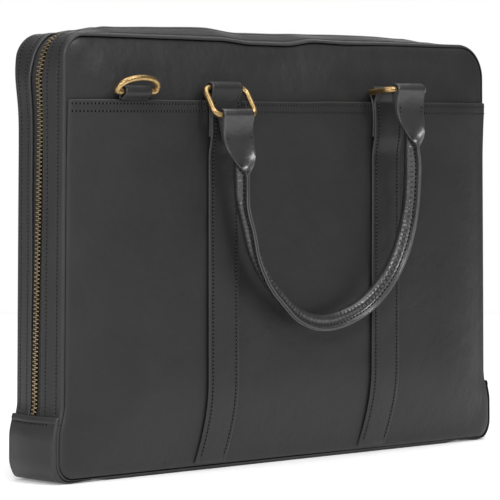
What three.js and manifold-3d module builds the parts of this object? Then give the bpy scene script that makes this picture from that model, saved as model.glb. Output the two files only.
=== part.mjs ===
// Slim leather laptop bag: crowned front and back panels, an arched gusset with a zip that
// runs up one end, over the top and down the other, a full-width slip pocket, and two
// rolled handles that hang from brass rings.
// Millimetres. X runs along the width, the front faces -Y, +Z is up, the bag stands on z = 0.

import * as THREE from 'three';
import { mergeVertices } from 'three/addons/utils/BufferGeometryUtils.js';
import Module from 'manifold-3d';

const wasm = await Module();
wasm.setup();

// Body, measured at the seam line between a panel and the gusset
const seamHalfWidth = 193;
const seamTop = 281.5;
const seamBottom = 4.2;
const gussetDepth = 44.6;
const cornerTopLeft = 13;
const cornerTopRight = 22;
const cornerBottom = 11;
const sideTaper = 3.4;
const footFlare = 4.2;
const flareTop = 50;
const flareBottom = 28;

// Leather, cloth and the clearance left between pieces
const wall = 1.8;
const tapeWall = 1;
const clearance = 0.3;

// Crown of the panels: how far they swell out of the seam plane, and over what distance
const panelTuck = 1.6;
const panelDip = 0.9;
const crown = 15.5;
const crownRun = 57;

// Gusset: the rolled edge beside the panels and the arch across its depth
const edgeLift = 0.2;
const edgeRoll = 1.9;
const sideArch = 5;
const topArch = 9;

// Zip
const zipGap = 8.4;
const zipChainWidth = 6.7;
const zipChainThickness = 2.6;
const zipRecess = 0.7;
const zipFoot = 38;
const sliderFoot = 72;
const sliderLength = 12;
const sliderHeight = 3.2;
const pullWidth = 7;
const pullLength = 29;
const pullThickness = 1.6;

// Corner patches and the base that they carry
const patchHeight = 42.5;
const patchRun = 26;
const patchFold = 0.8;
const patchFoldHeight = 4.5;
const baseSlope = 15;

// Slip pocket on the front; its mouth stands a little away from the panel
const pocketTop = 0.86 * seamTop;
const pocketGape = 1.3;
const gapeReach = 42;

// Straps, sewn from the bottom seam to the pocket's edge and looped over the rings
const strapWidth = 26.5;
const strapFoot = 6.4;
const strapTailLength = 24;
const strapTailRamp = 4;

// Where each strap stands, how far its loop rises above the pocket's edge, and how far its
// ring droops from straight forward, in degrees
const straps = [
  { name: 'left', centre: -73.5, rise: 8, droop: 58 },
  { name: 'right', centre: 76.9, rise: 6.4, droop: -5 },
];

// Brass wire, rectangular rings and D-rings
const wireRadius = 2;
const ringWidth = 40;
const ringLength = 24.6;
const ringCorner = 5;
const dRingCentre = seamHalfWidth - 44.7;
const dRingWidth = 36.8;
const dRingHeight = 15;
const dRingLean = 38;
const keeperWidth = 21.8;
const keeperRise = 4.9;
const keeperSeat = 1.2;
const keeperTail = 20;

// Handles
const gripRadius = 4;
const flangeLength = 4.6;
const flangeThickness = 2.6;
const tabWidth = 26;
const tabThickness = 4;
const leafLength = 35;
const hangLevel = 8.6;
const handleReach = 77.5;
const handleDrop = 154.6;
const handleStand = 25;
const flangeTurn = 1.3;

// Mesh steps
const runSpacing = 24;
const sideLevels = [28, 33, 38, 42.5, 47, 110, 180, 225, 242, 259];
const cornerSteps = 5;
const wireSides = 6;
const loopSteps = 9;

// Line of the top edge: across is a share of seamHalfWidth, drop a share of topSag below the
// straight seam, and rise the gusset's arch there as a share of topArch
const topSag = 2.5;
const sagFrom = 0.8;
const topLine = [
  { across: -1, drop: 0, rise: 0.15 },
  { across: -0.92, drop: -0.15, rise: 0.34 },
  { across: -0.86, drop: -0.15, rise: 0.58 },
  { across: -0.76, drop: -0.1, rise: 0.88 },
  { across: -0.55, drop: 0, rise: 1.03 },
  { across: -0.33, drop: 0.1, rise: 1.14 },
  { across: -0.16, drop: 0.95, rise: 1.04 },
  { across: -0.01, drop: 1, rise: 1.02 },
  { across: 0.13, drop: -0.1, rise: 0.76 },
  { across: 0.3, drop: 0.2, rise: 0.9 },
  { across: 0.5, drop: 0.05, rise: 0.84 },
  { across: 0.66, drop: 0.1, rise: 0.74 },
  { across: 0.76, drop: 0.15, rise: 0.48 },
  { across: 0.87, drop: 0.1, rise: 0.28 },
  { across: 1, drop: 0, rise: 0.25 },
];

// Sides near the top corners: the arch flattens from a share of the height over another
const archEase = { from: 0.9, over: 0.085, loss: 0.82 };

// Back left corner, which is pushed out: by how much, at what share of the height
const ear = { swell: 3.2, height: 0.925, reach: 0.07 };

// Hang of the front handle: across is a share of handleReach, height a share of handleDrop
// above its lowest point, and stand a share of handleStand in front of the seam plane. The
// drop is measured from hangLevel above the pocket's edge.
const handleHang = [
  { across: -0.915, height: 0.65, stand: 1.18 },
  { across: -0.895, height: 0.54, stand: 1.16 },
  { across: -0.82, height: 0.43, stand: 1.12 },
  { across: -0.73, height: 0.31, stand: 1.08 },
  { across: -0.585, height: 0.2, stand: 1.04 },
  { across: -0.42, height: 0.12, stand: 1.02 },
  { across: -0.24, height: 0.05, stand: 1 },
  { across: -0.05, height: 0.01, stand: 1 },
  { across: 0.15, height: 0, stand: 1 },
  { across: 0.37, height: 0.02, stand: 1.02 },
  { across: 0.6, height: 0.07, stand: 1.08 },
  { across: 0.79, height: 0.155, stand: 1.16 },
  { across: 0.93, height: 0.26, stand: 1.24 },
  { across: 1.01, height: 0.38, stand: 1.32 },
  { across: 1.035, height: 0.49, stand: 1.4 },
  { across: 1.03, height: 0.61, stand: 1.48 },
  { across: 1, height: 0.735, stand: 1.57 },
];

const seamPlane = gussetDepth / 2;
const bandDepth = seamPlane - zipGap / 2;
const loopInner = wireRadius + clearance + 0.05;
const loopOuter = loopInner + wall;

// Materials
const leather = new THREE.MeshStandardMaterial({ color: 0x35353a, roughness: 0.5, metalness: 0 });
const tapeCloth = new THREE.MeshStandardMaterial({ color: 0x1b1c1f, roughness: 0.9, metalness: 0 });
const brass = new THREE.MeshStandardMaterial({ color: 0xb08a45, roughness: 0.32, metalness: 1 });

function clamp(value, low = 0, high = 1) {
  return Math.min(high, Math.max(low, value));
}

function smooth(value) {
  const t = clamp(value);
  return t * t * (3 - 2 * t);
}

// Closed solid from shared points and faces, turned so that its faces point out
function solid(points, faces) {
  let volume = 0;
  for (let i = 0; i < faces.length; i += 3) {
    const [a, b, c] = [points[faces[i]], points[faces[i + 1]], points[faces[i + 2]]];
    volume += a.dot(b.clone().cross(c));
  }
  const index = volume > 0 ? faces : faces.slice().reverse();
  const geometry = new THREE.BufferGeometry();
  geometry.setAttribute('position', new THREE.Float32BufferAttribute(points.flatMap((p) => p.toArray()), 3));
  geometry.setIndex(index);
  geometry.computeVertexNormals();
  return geometry;
}

// Triangles across a strip-like ring, taken from its two ends inwards so that every point is used
function fillRing(ring) {
  const faces = [];
  let low = 0;
  let high = ring.length - 1;
  while (high - low > 1) {
    if (ring[low + 1].distanceTo(ring[high]) <= ring[low].distanceTo(ring[high - 1])) {
      faces.push([low, low + 1, high]);
      low += 1;
    } else {
      faces.push([low, high - 1, high]);
      high -= 1;
    }
  }
  return faces;
}

// Solid skinned over rings of points, joined into a loop or capped at both ends. The second
// half of a ring is cut along the other diagonal, so that both faces of a sheet bend alike.
function loft(rings, looped = false) {
  const count = rings[0].length;
  const faces = [];
  const spans = looped ? rings.length : rings.length - 1;
  for (let i = 0; i < spans; i += 1) {
    const here = i * count;
    const next = ((i + 1) % rings.length) * count;
    for (let j = 0; j < count; j += 1) {
      const k = (j + 1) % count;
      if (j < count / 2) faces.push(here + j, here + k, next + k, here + j, next + k, next + j);
      else faces.push(here + j, here + k, next + j, here + k, next + k, next + j);
    }
  }
  if (!looped) {
    const end = (rings.length - 1) * count;
    fillRing(rings[0]).forEach(([a, b, c]) => faces.push(a, c, b));
    fillRing(rings.at(-1)).forEach(([a, b, c]) => faces.push(end + a, end + b, end + c));
  }
  return solid(rings.flat(), faces);
}

function toManifold(geometry) {
  const bare = geometry.clone();
  bare.deleteAttribute('normal');
  bare.deleteAttribute('uv');
  const merged = mergeVertices(bare, 1e-4);
  return new wasm.Manifold(new wasm.Mesh({
    numProp: 3,
    vertProperties: new Float32Array(merged.attributes.position.array),
    triVerts: new Uint32Array(merged.index.array),
  }));
}

// Several overlapping solids joined into one
function fuse(geometries) {
  const joined = geometries.map(toManifold).reduce((sum, next) => sum.add(next));
  const { vertProperties, triVerts } = joined.getMesh();
  const geometry = new THREE.BufferGeometry();
  geometry.setAttribute('position', new THREE.Float32BufferAttribute(vertProperties, 3));
  geometry.setIndex(Array.from(triVerts));
  geometry.computeVertexNormals();
  return geometry;
}

// A side profile of distance in front of the seam plane and height, drawn out along X
function acrossBag(shape, centre, width) {
  const geometry = new THREE.ExtrudeGeometry(shape, { depth: width, bevelEnabled: false, curveSegments: loopSteps });
  const turn = new THREE.Matrix4().makeBasis(
    new THREE.Vector3(0, -1, 0),
    new THREE.Vector3(0, 0, 1),
    new THREE.Vector3(-1, 0, 0),
  );
  turn.setPosition(centre + width / 2, -seamPlane, 0);
  return geometry.applyMatrix4(turn);
}

// A column of the top line at a distance across the bag
function topLineAt(x, column) {
  const share = clamp(x / seamHalfWidth, -1, 1);
  const above = Math.max(1, topLine.findIndex((row) => row.across >= share));
  const [low, high] = [topLine[above - 1], topLine[above]];
  return low[column] + (high[column] - low[column]) * smooth((share - low.across) / (high.across - low.across));
}

// Where a point of the plain outline lands on the real one, which leans, flares and sags
function settle(x, z, depth = 0) {
  const height = z / seamTop;
  const lean = sideTaper * (0.5 - height);
  const flare = footFlare * (1 - smooth((z - flareBottom) / (flareTop - flareBottom)));
  const drop = topSag * topLineAt(x, 'drop') * smooth((height - sagFrom) / (1 - sagFrom));
  const offset = (height - ear.height) / ear.reach;
  const inEar = x < 0 ? (x / seamHalfWidth) ** 2 * Math.exp(-offset * offset) : 0;
  const push = ear.swell * inEar * smooth(depth / gussetDepth);
  return { x: x * (1 + (lean + flare) / seamHalfWidth) - push, z: z - drop };
}

// Stations along a line through stops with rounded corners, each with its outward normal
function roundedRun(stops) {
  const run = [];
  const add = (x, z, tangent) => run.push({ x, z, nx: -tangent.y, nz: tangent.x });
  const straight = (from, to) => {
    const tangent = to.clone().sub(from).normalize();
    const reach = to.y - from.y;
    const steps = Math.max(1, Math.ceil(from.distanceTo(to) / runSpacing));
    const inner = Math.abs(tangent.y) > 0.5
      ? sideLevels.map((z) => (z - from.y) / reach).sort((a, b) => a - b)
      : Array.from({ length: steps }, (_, i) => i / steps);
    [0, ...inner.filter((share) => share > 1e-6 && share < 1 - 1e-6), 1].forEach((share) => {
      const p = from.clone().lerp(to, share);
      add(p.x, p.y, tangent);
    });
  };
  let from = new THREE.Vector2(stops[0].x, stops[0].z);
  for (let i = 1; i < stops.length - 1; i += 1) {
    const corner = new THREE.Vector2(stops[i].x, stops[i].z);
    const after = new THREE.Vector2(stops[i + 1].x, stops[i + 1].z);
    const back = from.clone().sub(corner).normalize();
    const on = after.clone().sub(corner).normalize();
    const arcStart = corner.clone().addScaledVector(back, stops[i].r);
    const arcEnd = corner.clone().addScaledVector(on, stops[i].r);
    const centre = arcStart.clone().addScaledVector(on, stops[i].r);
    straight(from, arcStart);
    for (let k = 1; k < cornerSteps; k += 1) {
      const angle = (k / cornerSteps) * Math.PI / 2;
      const spoke = on.clone().multiplyScalar(-Math.cos(angle)).addScaledVector(back, -Math.sin(angle));
      const tangent = back.clone().multiplyScalar(-Math.cos(angle)).addScaledVector(on, Math.sin(angle));
      const p = centre.clone().addScaledVector(spoke, stops[i].r);
      add(p.x, p.y, tangent);
    }
    from = arcEnd;
  }
  straight(from, new THREE.Vector2(stops.at(-1).x, stops.at(-1).z));
  return run;
}

const topLeft = { x: -seamHalfWidth, z: seamTop, r: cornerTopLeft };
const topRight = { x: seamHalfWidth, z: seamTop, r: cornerTopRight };
const bottomLeft = { x: -seamHalfWidth, z: seamBottom, r: cornerBottom };
const bottomRight = { x: seamHalfWidth, z: seamBottom, r: cornerBottom };

// The gusset's arch at a station: how far its middle stands outside the seam line
function archAt(station) {
  const side = station.nx * station.nx;
  const upright = station.nz * station.nz;
  const restOnPatches = seamBottom - wall - clearance;
  const patchEnd = seamHalfWidth - patchRun;
  const middle = smooth((patchEnd - clearance - Math.abs(station.x)) / baseSlope);
  const base = restOnPatches + middle * (seamBottom - restOnPatches);
  const ease = 1 - archEase.loss * smooth((station.z / seamTop - archEase.from) / archEase.over);
  const top = topArch * topLineAt(station.x, 'rise');
  return side * sideArch * ease + upright * (station.nz > 0 ? top : base);
}

// Outer surface of the gusset at a depth behind the seam plane
function gussetSkin(arch, depth) {
  const rolled = edgeLift + edgeRoll;
  const inward = Math.min(depth, gussetDepth - depth);
  const share = clamp((inward - edgeRoll) / (seamPlane - edgeRoll));
  return rolled + (arch - rolled) * Math.sin(share * Math.PI / 2);
}

// Depths at which every gusset section is cut, from the rolled edge to the zip's lip
const archDepths = [0.35, 0.7, 1].map((share) => edgeRoll / 2 + (bandDepth - edgeRoll / 2) * share);
const fullDepths = [...archDepths, ...archDepths.map((depth) => gussetDepth - depth).reverse()];

// Rolled edge of a gusset piece: a quarter turn from the face of the seam to the outside
function rolledEdge(radius, steps, lift = 0) {
  return Array.from({ length: steps + 1 }, (_, i) => {
    const angle = (i / steps) * Math.PI / 2;
    return {
      n: edgeLift + lift + radius * Math.sin(angle),
      depth: edgeRoll - wall / 2 - radius * Math.cos(angle),
    };
  });
}

// Sections set along a run: n is measured outwards, depth back from the front seam plane
function sweepRun(run, sectionAt) {
  return loft(run.map((station) => sectionAt(station).map(({ n, depth }) => {
    const seat = settle(station.x, station.z, depth);
    return new THREE.Vector3(seat.x + station.nx * n, depth - seamPlane, seat.z + station.nz * n);
  })));
}

const mirrored = (section) => section.map(({ n, depth }) => ({ n, depth: gussetDepth - depth }));

// One band of the gusset, from its rolled edge at the panel to its lip at the zip
function gussetBand(side) {
  const run = roundedRun([{ x: -seamHalfWidth, z: zipFoot }, topLeft, topRight, { x: seamHalfWidth, z: zipFoot }]);
  return sweepRun(run, (station) => {
    const arch = archAt(station);
    const outer = archDepths.map((depth) => ({ n: gussetSkin(arch, depth), depth }));
    const inner = outer.map(({ n, depth }) => ({ n: n - wall, depth })).reverse();
    const section = [...rolledEdge(edgeRoll, 2), ...outer, ...inner, ...rolledEdge(edgeRoll - wall, 1).reverse()];
    return side === 'front' ? section : mirrored(section);
  });
}

// The base's skin is arched up the sides and level underneath
function footSkin(station, arch, depth) {
  const skin = gussetSkin(arch, depth);
  return skin + (arch - skin) * station.nz * station.nz;
}

// The base, which goes on from the bands under the corner patches and lies flat on the ground
function baseGusset() {
  const head = zipFoot - clearance;
  const run = roundedRun([{ x: seamHalfWidth, z: head }, bottomRight, bottomLeft, { x: -seamHalfWidth, z: head }]);
  const toe = seamHalfWidth - patchRun;
  const extra = [toe, toe - baseSlope, baseSlope - toe, -toe];
  const level = (station) => station.nz < -0.999;
  const bottom = run.filter(level);
  const template = bottom[0];
  const stations = run.filter((station) => !level(station));
  const xs = [...bottom.map((station) => station.x), ...extra]
    .sort((a, b) => b - a)
    .filter((x, i, all) => i === 0 || all[i - 1] - x > clearance);
  const at = stations.findIndex((station) => station.x < 0);
  stations.splice(at < 0 ? stations.length : at, 0, ...xs.map((x) => ({ ...template, x })));
  return sweepRun(stations, (station) => {
    const arch = archAt(station);
    const outer = fullDepths.map((depth) => ({ n: footSkin(station, arch, depth), depth }));
    const inner = outer.map(({ n, depth }) => ({ n: n - wall, depth })).reverse();
    const edgeOut = rolledEdge(edgeRoll, 2);
    const edgeIn = rolledEdge(edgeRoll - wall, 1);
    return [...edgeOut, ...outer, ...mirrored(edgeOut).reverse(), ...mirrored(edgeIn), ...inner, ...edgeIn.reverse()];
  });
}

// A patch of a second layer round a bottom corner of the gusset, with a folded top edge
function cornerPatch(side) {
  const sign = side === 'left' ? -1 : 1;
  const foldFoot = patchHeight - patchFoldHeight;
  const down = [{ x: -seamHalfWidth, z: patchHeight }, { x: -seamHalfWidth, z: foldFoot }];
  const corner = roundedRun([
    { x: -(seamHalfWidth - patchRun), z: seamBottom },
    bottomLeft,
    { x: -seamHalfWidth, z: foldFoot - clearance },
  ]);
  const run = [...corner, ...down.reverse().map((stop) => ({ ...stop, nx: -1, nz: 0 }))];
  const stations = run.map((station) => ({ ...station, x: -sign * station.x, nx: -sign * station.nx }));
  return sweepRun(stations, (station) => {
    const arch = archAt(station);
    const fold = station.z > foldFoot - clearance / 2 ? patchFold : 0;
    const lifted = clearance + wall;
    const outer = fullDepths.map((depth) => ({ n: footSkin(station, arch, depth) + lifted, depth }));
    const edge = [
      { n: edgeLift + lifted + 0.5, depth: -edgeRoll / 4 },
      { n: edgeLift + edgeRoll + lifted, depth: edgeRoll / 2 },
    ];
    const inset = [
      { n: edgeLift + edgeRoll + clearance, depth: edgeRoll / 2 },
      { n: edgeLift + edgeRoll * 0.8 + clearance, depth: -edgeRoll / 4 },
    ];
    const inner = outer.map(({ n, depth }) => ({ n: n - wall, depth })).reverse();
    const raised = (points) => points.map(({ n, depth }) => ({ n: n + fold, depth }));
    return [...raised([...edge, ...outer, ...mirrored(edge).reverse()]), ...mirrored(inset).reverse(), ...inner, ...inset];
  });
}

// A strip of the zip, between two depths and two levels below the gusset's lips
function zipStrip(depthFrom, depthTo, levelFrom, levelTo) {
  const run = roundedRun([{ x: -seamHalfWidth, z: zipFoot }, topLeft, topRight, { x: seamHalfWidth, z: zipFoot }]);
  return sweepRun(run, (station) => {
    const arch = archAt(station);
    const low = gussetSkin(arch, depthFrom);
    const high = gussetSkin(arch, depthTo);
    return [
      { n: low - levelTo, depth: depthFrom },
      { n: high - levelTo, depth: depthTo },
      { n: high - levelFrom, depth: depthTo },
      { n: low - levelFrom, depth: depthFrom },
    ];
  });
}

function zipTape(side) {
  const under = wall + clearance;
  const [near, far] = [archDepths[1], seamPlane - zipChainWidth / 2 - clearance];
  return side === 'front'
    ? zipStrip(near, far, under + tapeWall, under)
    : zipStrip(gussetDepth - near, gussetDepth - far, under + tapeWall, under);
}

function zipChain() {
  const half = zipChainWidth / 2;
  return zipStrip(seamPlane - half, seamPlane + half, zipRecess + zipChainThickness, zipRecess);
}

// Slider and its pull in one plain piece, at the closed end of the zip on the right
function zipSlider() {
  const seat = settle(seamHalfWidth, sliderFoot);
  const foot = seat.x + sideArch - zipRecess + clearance;
  const crest = foot + sliderHeight;
  const top = sliderFoot + sliderLength;
  const hang = sliderFoot + sliderLength / 2 - pullLength;
  const shape = new THREE.Shape([
    new THREE.Vector2(foot, sliderFoot),
    new THREE.Vector2(crest - pullThickness, sliderFoot),
    new THREE.Vector2(crest - pullThickness, hang),
    new THREE.Vector2(crest, hang),
    new THREE.Vector2(crest, top - sliderLength / 4),
    new THREE.Vector2(crest - sliderHeight / 3, top),
    new THREE.Vector2(foot, top),
  ]);
  const geometry = new THREE.ExtrudeGeometry(shape, { depth: pullWidth, bevelEnabled: false });
  geometry.rotateX(Math.PI / 2);
  return geometry.translate(0, pullWidth / 2, 0);
}

// How far a panel's skin stands out of the seam plane at a point of the plain outline
function panelSwell(x, z, swell = crown) {
  const cornerRadius = z > seamTop / 2 ? (x < 0 ? cornerTopLeft : cornerTopRight) : cornerBottom;
  const dx = Math.max(Math.abs(x) - (seamHalfWidth - crownRun), 0);
  const dz = Math.max(seamBottom + crownRun - z, z - (seamTop - crownRun), 0);
  const reach = Math.hypot(dx, dz);
  if (reach === 0) return swell - panelTuck;
  const ux = dx / reach;
  const uz = dz / reach;
  const flat = crownRun - cornerRadius;
  const square = crownRun / Math.max(ux, uz);
  const along = flat * (ux + uz);
  const round = along + Math.sqrt(Math.max(along * along - 2 * flat * flat + cornerRadius * cornerRadius, 0));
  const onArc = Math.min(ux, uz) * square > flat;
  const share = clamp(reach / (onArc ? round : square));
  return swell * (1 - share * share) - panelTuck;
}

// Half width of the plain outline at a height, with its rounded corners
function outlineHalfWidth(z, top, sign) {
  const topRadius = sign < 0 ? cornerTopLeft : cornerTopRight;
  const low = seamBottom + cornerBottom - z;
  const high = top === seamTop ? z - (seamTop - topRadius) : 0;
  if (low > 0) return seamHalfWidth - cornerBottom + Math.sqrt(Math.max(cornerBottom ** 2 - low ** 2, 0));
  if (high > 0) return seamHalfWidth - topRadius + Math.sqrt(Math.max(topRadius ** 2 - high ** 2, 0));
  return seamHalfWidth;
}

// Heights at which the panels are cut into rows, close together where they curve most
const panelLevels = (() => {
  const turn = (share, radius) => radius * (1 - Math.cos(share * Math.PI / 2));
  const low = [0, 0.35, 0.7, 1].map((share) => seamBottom + turn(share, cornerBottom));
  const ramp = [flareBottom, flareTop - 1, seamBottom + crownRun];
  const upper = [1, 0.75].map((share) => seamTop - crownRun * share);
  const crest = [1, 0.7, 0.35, 0].map((share) => seamTop - Math.max(panelDip, turn(share, cornerTopRight)));
  return [...low, ...ramp, ...upper, pocketTop, ...crest].sort((a, b) => a - b);
})();

// A panel of leather over the outline, from the bottom seam up to a top edge
function panel({ top, swell, lift, depth }) {
  const side = [0, 0.035, 0.08, crownRun / seamHalfWidth / 2];
  const shares = [...side, 0.3, 0.4, 0.46, 0.52, 0.6, 0.72, ...side.map((share) => 1 - share).reverse()];
  return loft(panelLevels.filter((z) => z <= top).map((z) => {
    const left = outlineHalfWidth(z, top, -1) - clearance;
    const right = outlineHalfWidth(z, top, 1) - clearance;
    const skin = (back) => shares.map((share) => {
      const x = -left + (left + right) * share;
      const seat = settle(x, z, depth);
      return new THREE.Vector3(seat.x, -(seamPlane + panelSwell(x, z, swell) + lift(z) - back), seat.z);
    });
    return [...skin(0), ...skin(wall).reverse()];
  }));
}

const pocketLift = (z) => wall + clearance + pocketGape * smooth((z - pocketTop) / gapeReach + 1);

// Swell of what a strap lies on: the pocket at the front, the bare panel at the back
const backCrown = crown + wall + clearance;

function strapBed(z, side) {
  const above = Math.max(1, panelLevels.findIndex((level) => level >= z));
  const [low, high] = [panelLevels[above - 1], panelLevels[above]];
  const [atLow, atHigh] = [low, high].map((level) => (side === 'front'
    ? panelSwell(0, level, crown) + pocketLift(level)
    : panelSwell(0, level, backCrown)));
  return atLow + (atHigh - atLow) * (z - low) / (high - low);
}

const ringBar = ({ rise }) => ({ out: strapBed(pocketTop, 'front') + clearance + wall, z: pocketTop + rise });

// A strap seen from the end: up over its bed, round the ring's bar and back down inside
function strapProfile(side, row) {
  const bar = ringBar(row);
  const tailFoot = pocketTop - strapTailLength;
  const under = panelLevels.filter((z) => z > strapFoot + 1 && z < tailFoot - strapTailRamp);
  const over = panelLevels.filter((z) => z > tailFoot && z < pocketTop);
  const single = [strapFoot, ...under];
  const bed = (z) => strapBed(z, side) + clearance;
  const points = [];
  single.forEach((z) => points.push([bed(z) + wall, z]));
  points.push([bed(tailFoot - strapTailRamp) + wall, tailFoot - strapTailRamp]);
  points.push([bed(tailFoot) + 2 * wall, tailFoot]);
  over.forEach((z) => points.push([bed(z) + 2 * wall, z]));
  points.push([bed(pocketTop) + 2 * wall, pocketTop]);
  for (let i = 0; i <= loopSteps; i += 1) {
    const angle = (-25 + (i / loopSteps) * 230) * Math.PI / 180;
    points.push([bar.out + loopOuter * Math.cos(angle), bar.z + loopOuter * Math.sin(angle)]);
  }
  points.push([bed(pocketTop), pocketTop]);
  over.reverse().forEach((z) => points.push([bed(z), z]));
  points.push([bed(tailFoot), tailFoot]);
  single.reverse().forEach((z) => points.push([bed(z), z]));
  const shape = new THREE.Shape(points.map(([out, z]) => new THREE.Vector2(out, z)));
  shape.holes.push(new THREE.Path().absarc(bar.out, bar.z, loopInner, 0, 2 * Math.PI, true));
  return shape;
}

const strap = (side, row) => acrossBag(strapProfile(side, row), row.centre, strapWidth);

// Round wire swept along a closed line of points in one plane, with the plane's normal given
function wireLoop(points, normal) {
  return loft(points.map((p, i) => {
    const before = points.at(i - 1);
    const after = points[(i + 1) % points.length];
    const tangent = after.clone().sub(before).normalize();
    const outward = tangent.clone().cross(normal);
    return Array.from({ length: wireSides }, (_, k) => {
      const angle = (k / wireSides) * 2 * Math.PI;
      return p.clone()
        .addScaledVector(outward, wireRadius * Math.cos(angle))
        .addScaledVector(normal, wireRadius * Math.sin(angle));
    });
  }), true);
}

// Points of a ring in its own plane: along is X, reach is measured away from the held bar
function ringOutline() {
  const half = ringWidth / 2 - wireRadius;
  const length = ringLength - 2 * wireRadius;
  const corners = [
    { along: half - ringCorner, reach: length - ringCorner, from: 0 },
    { along: -(half - ringCorner), reach: length - ringCorner, from: 90 },
    { along: -(half - ringCorner), reach: ringCorner, from: 180 },
    { along: half - ringCorner, reach: ringCorner, from: 270 },
  ];
  return corners.flatMap(({ along, reach, from }) => [0, 30, 60, 90].map((turn) => {
    const angle = (from + turn) * Math.PI / 180;
    return { along: along + ringCorner * Math.cos(angle), reach: reach + ringCorner * Math.sin(angle) };
  }));
}

// A D-ring's outline: a straight bar at reach zero and a flat arch over it
function dRingOutline() {
  const half = dRingWidth / 2 - wireRadius;
  const height = dRingHeight - 2 * wireRadius;
  const arch = Array.from({ length: 13 }, (_, i) => {
    const angle = (i / 12) * Math.PI;
    const fullness = Math.sin(angle) ** 0.8;
    return { along: half * Math.cos(angle), reach: wireRadius * 0.4 + (height - wireRadius * 0.4) * fullness };
  });
  const inset = half - wireRadius * 0.8;
  return [...arch, { along: -inset, reach: 0 }, { along: inset, reach: 0 }];
}

// Wire in a plane that turns about a bar: zero degrees droops nothing and points forward
function hungWire(outline, centre, bar, droop) {
  const angle = droop * Math.PI / 180;
  const reachOut = new THREE.Vector3(0, -Math.cos(angle), -Math.sin(angle));
  const normal = new THREE.Vector3(0, -Math.sin(angle), Math.cos(angle));
  const start = new THREE.Vector3(centre, -(seamPlane + bar.out), bar.z);
  const points = outline.map(({ along, reach }) => start.clone()
    .addScaledVector(new THREE.Vector3(1, 0, 0), along)
    .addScaledVector(reachOut, reach));
  return wireLoop(points, normal);
}

const ring = (row) => hungWire(ringOutline(), row.centre, ringBar(row), row.droop);

// A D-ring's bar stands clear of the panel by the keeper's fold and its seat
function dRingBar(side) {
  const z = pocketTop + keeperRise;
  const swell = side === 'front' ? crown : backCrown;
  return { out: panelSwell(-dRingCentre, z, swell) + keeperSeat + loopOuter, z };
}

const dRing = (side) => hungWire(dRingOutline(), -dRingCentre, dRingBar(side), dRingLean - 90);

// Leather keeper of a D-ring: at the front it comes out of the pocket, at the back it is
// sewn flat on the panel
function dRingKeeper(side) {
  const bar = dRingBar(side);
  const swell = side === 'front' ? crown : backCrown;
  const bed = (z) => panelSwell(keeperWidth / 2 - dRingCentre, z, swell) + clearance;
  const tail = pocketTop - keeperTail;
  const sewn = [tail, ...panelLevels.filter((z) => z > tail && z < pocketTop), pocketTop];
  const feet = side === 'front' ? [pocketTop + clearance] : sewn;
  const points = feet.map((z) => [bed(z) + 2 * wall, z]);
  for (let i = 0; i <= loopSteps; i += 1) {
    const angle = (-35 + (i / loopSteps) * 235) * Math.PI / 180;
    points.push([bar.out + loopOuter * Math.cos(angle), bar.z + loopOuter * Math.sin(angle)]);
  }
  feet.reverse().forEach((z) => points.push([bed(z), z]));
  const shape = new THREE.Shape(points.map(([out, z]) => new THREE.Vector2(out, z)));
  shape.holes.push(new THREE.Path().absarc(bar.out, bar.z, loopInner, 0, 2 * Math.PI, true));
  return acrossBag(shape, -dRingCentre, keeperWidth);
}

// Section of the handle, from the middle of its front round to the back and up again. At
// share 0 it is the flat leaf at a ring; its two edges curl forward and then close, and at
// 1 they are the sewn flange in front of the round grip.
function gripSection(share) {
  const thick = tabThickness / 2;
  const wide = tabWidth / 2;
  const tip = gripRadius + flangeLength;
  const lap = flangeThickness / 2;
  const curl = smooth(share) ** 2;
  const close = share ** 3.6;
  const rows = [
    { leaf: [wide * 0.3, thick], grip: [lap * 0.3, tip] },
    { leaf: [wide - 0.6, thick], grip: [lap, tip] },
    { leaf: [wide, 0], grip: [lap, tip - 1.6] },
    { leaf: [wide - 0.6, -thick], grip: [lap, gripRadius * 0.95] },
    { leaf: [wide * 0.7, -thick], grip: [gripRadius * 0.95, gripRadius * 0.3] },
    { leaf: [wide * 0.45, -thick], grip: [gripRadius * 0.8, -gripRadius * 0.6] },
    { leaf: [wide * 0.15, -thick], grip: [gripRadius * 0.3, -gripRadius * 0.96] },
  ];
  const half = rows.map(({ leaf, grip }) => ({
    across: leaf[0] + (grip[0] - leaf[0]) * close,
    front: leaf[1] + (grip[1] - leaf[1]) * (grip[1] > 0 ? curl : share),
  }));
  return [...half, ...half.map(({ across, front }) => ({ across: -across, front })).reverse()];
}

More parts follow.
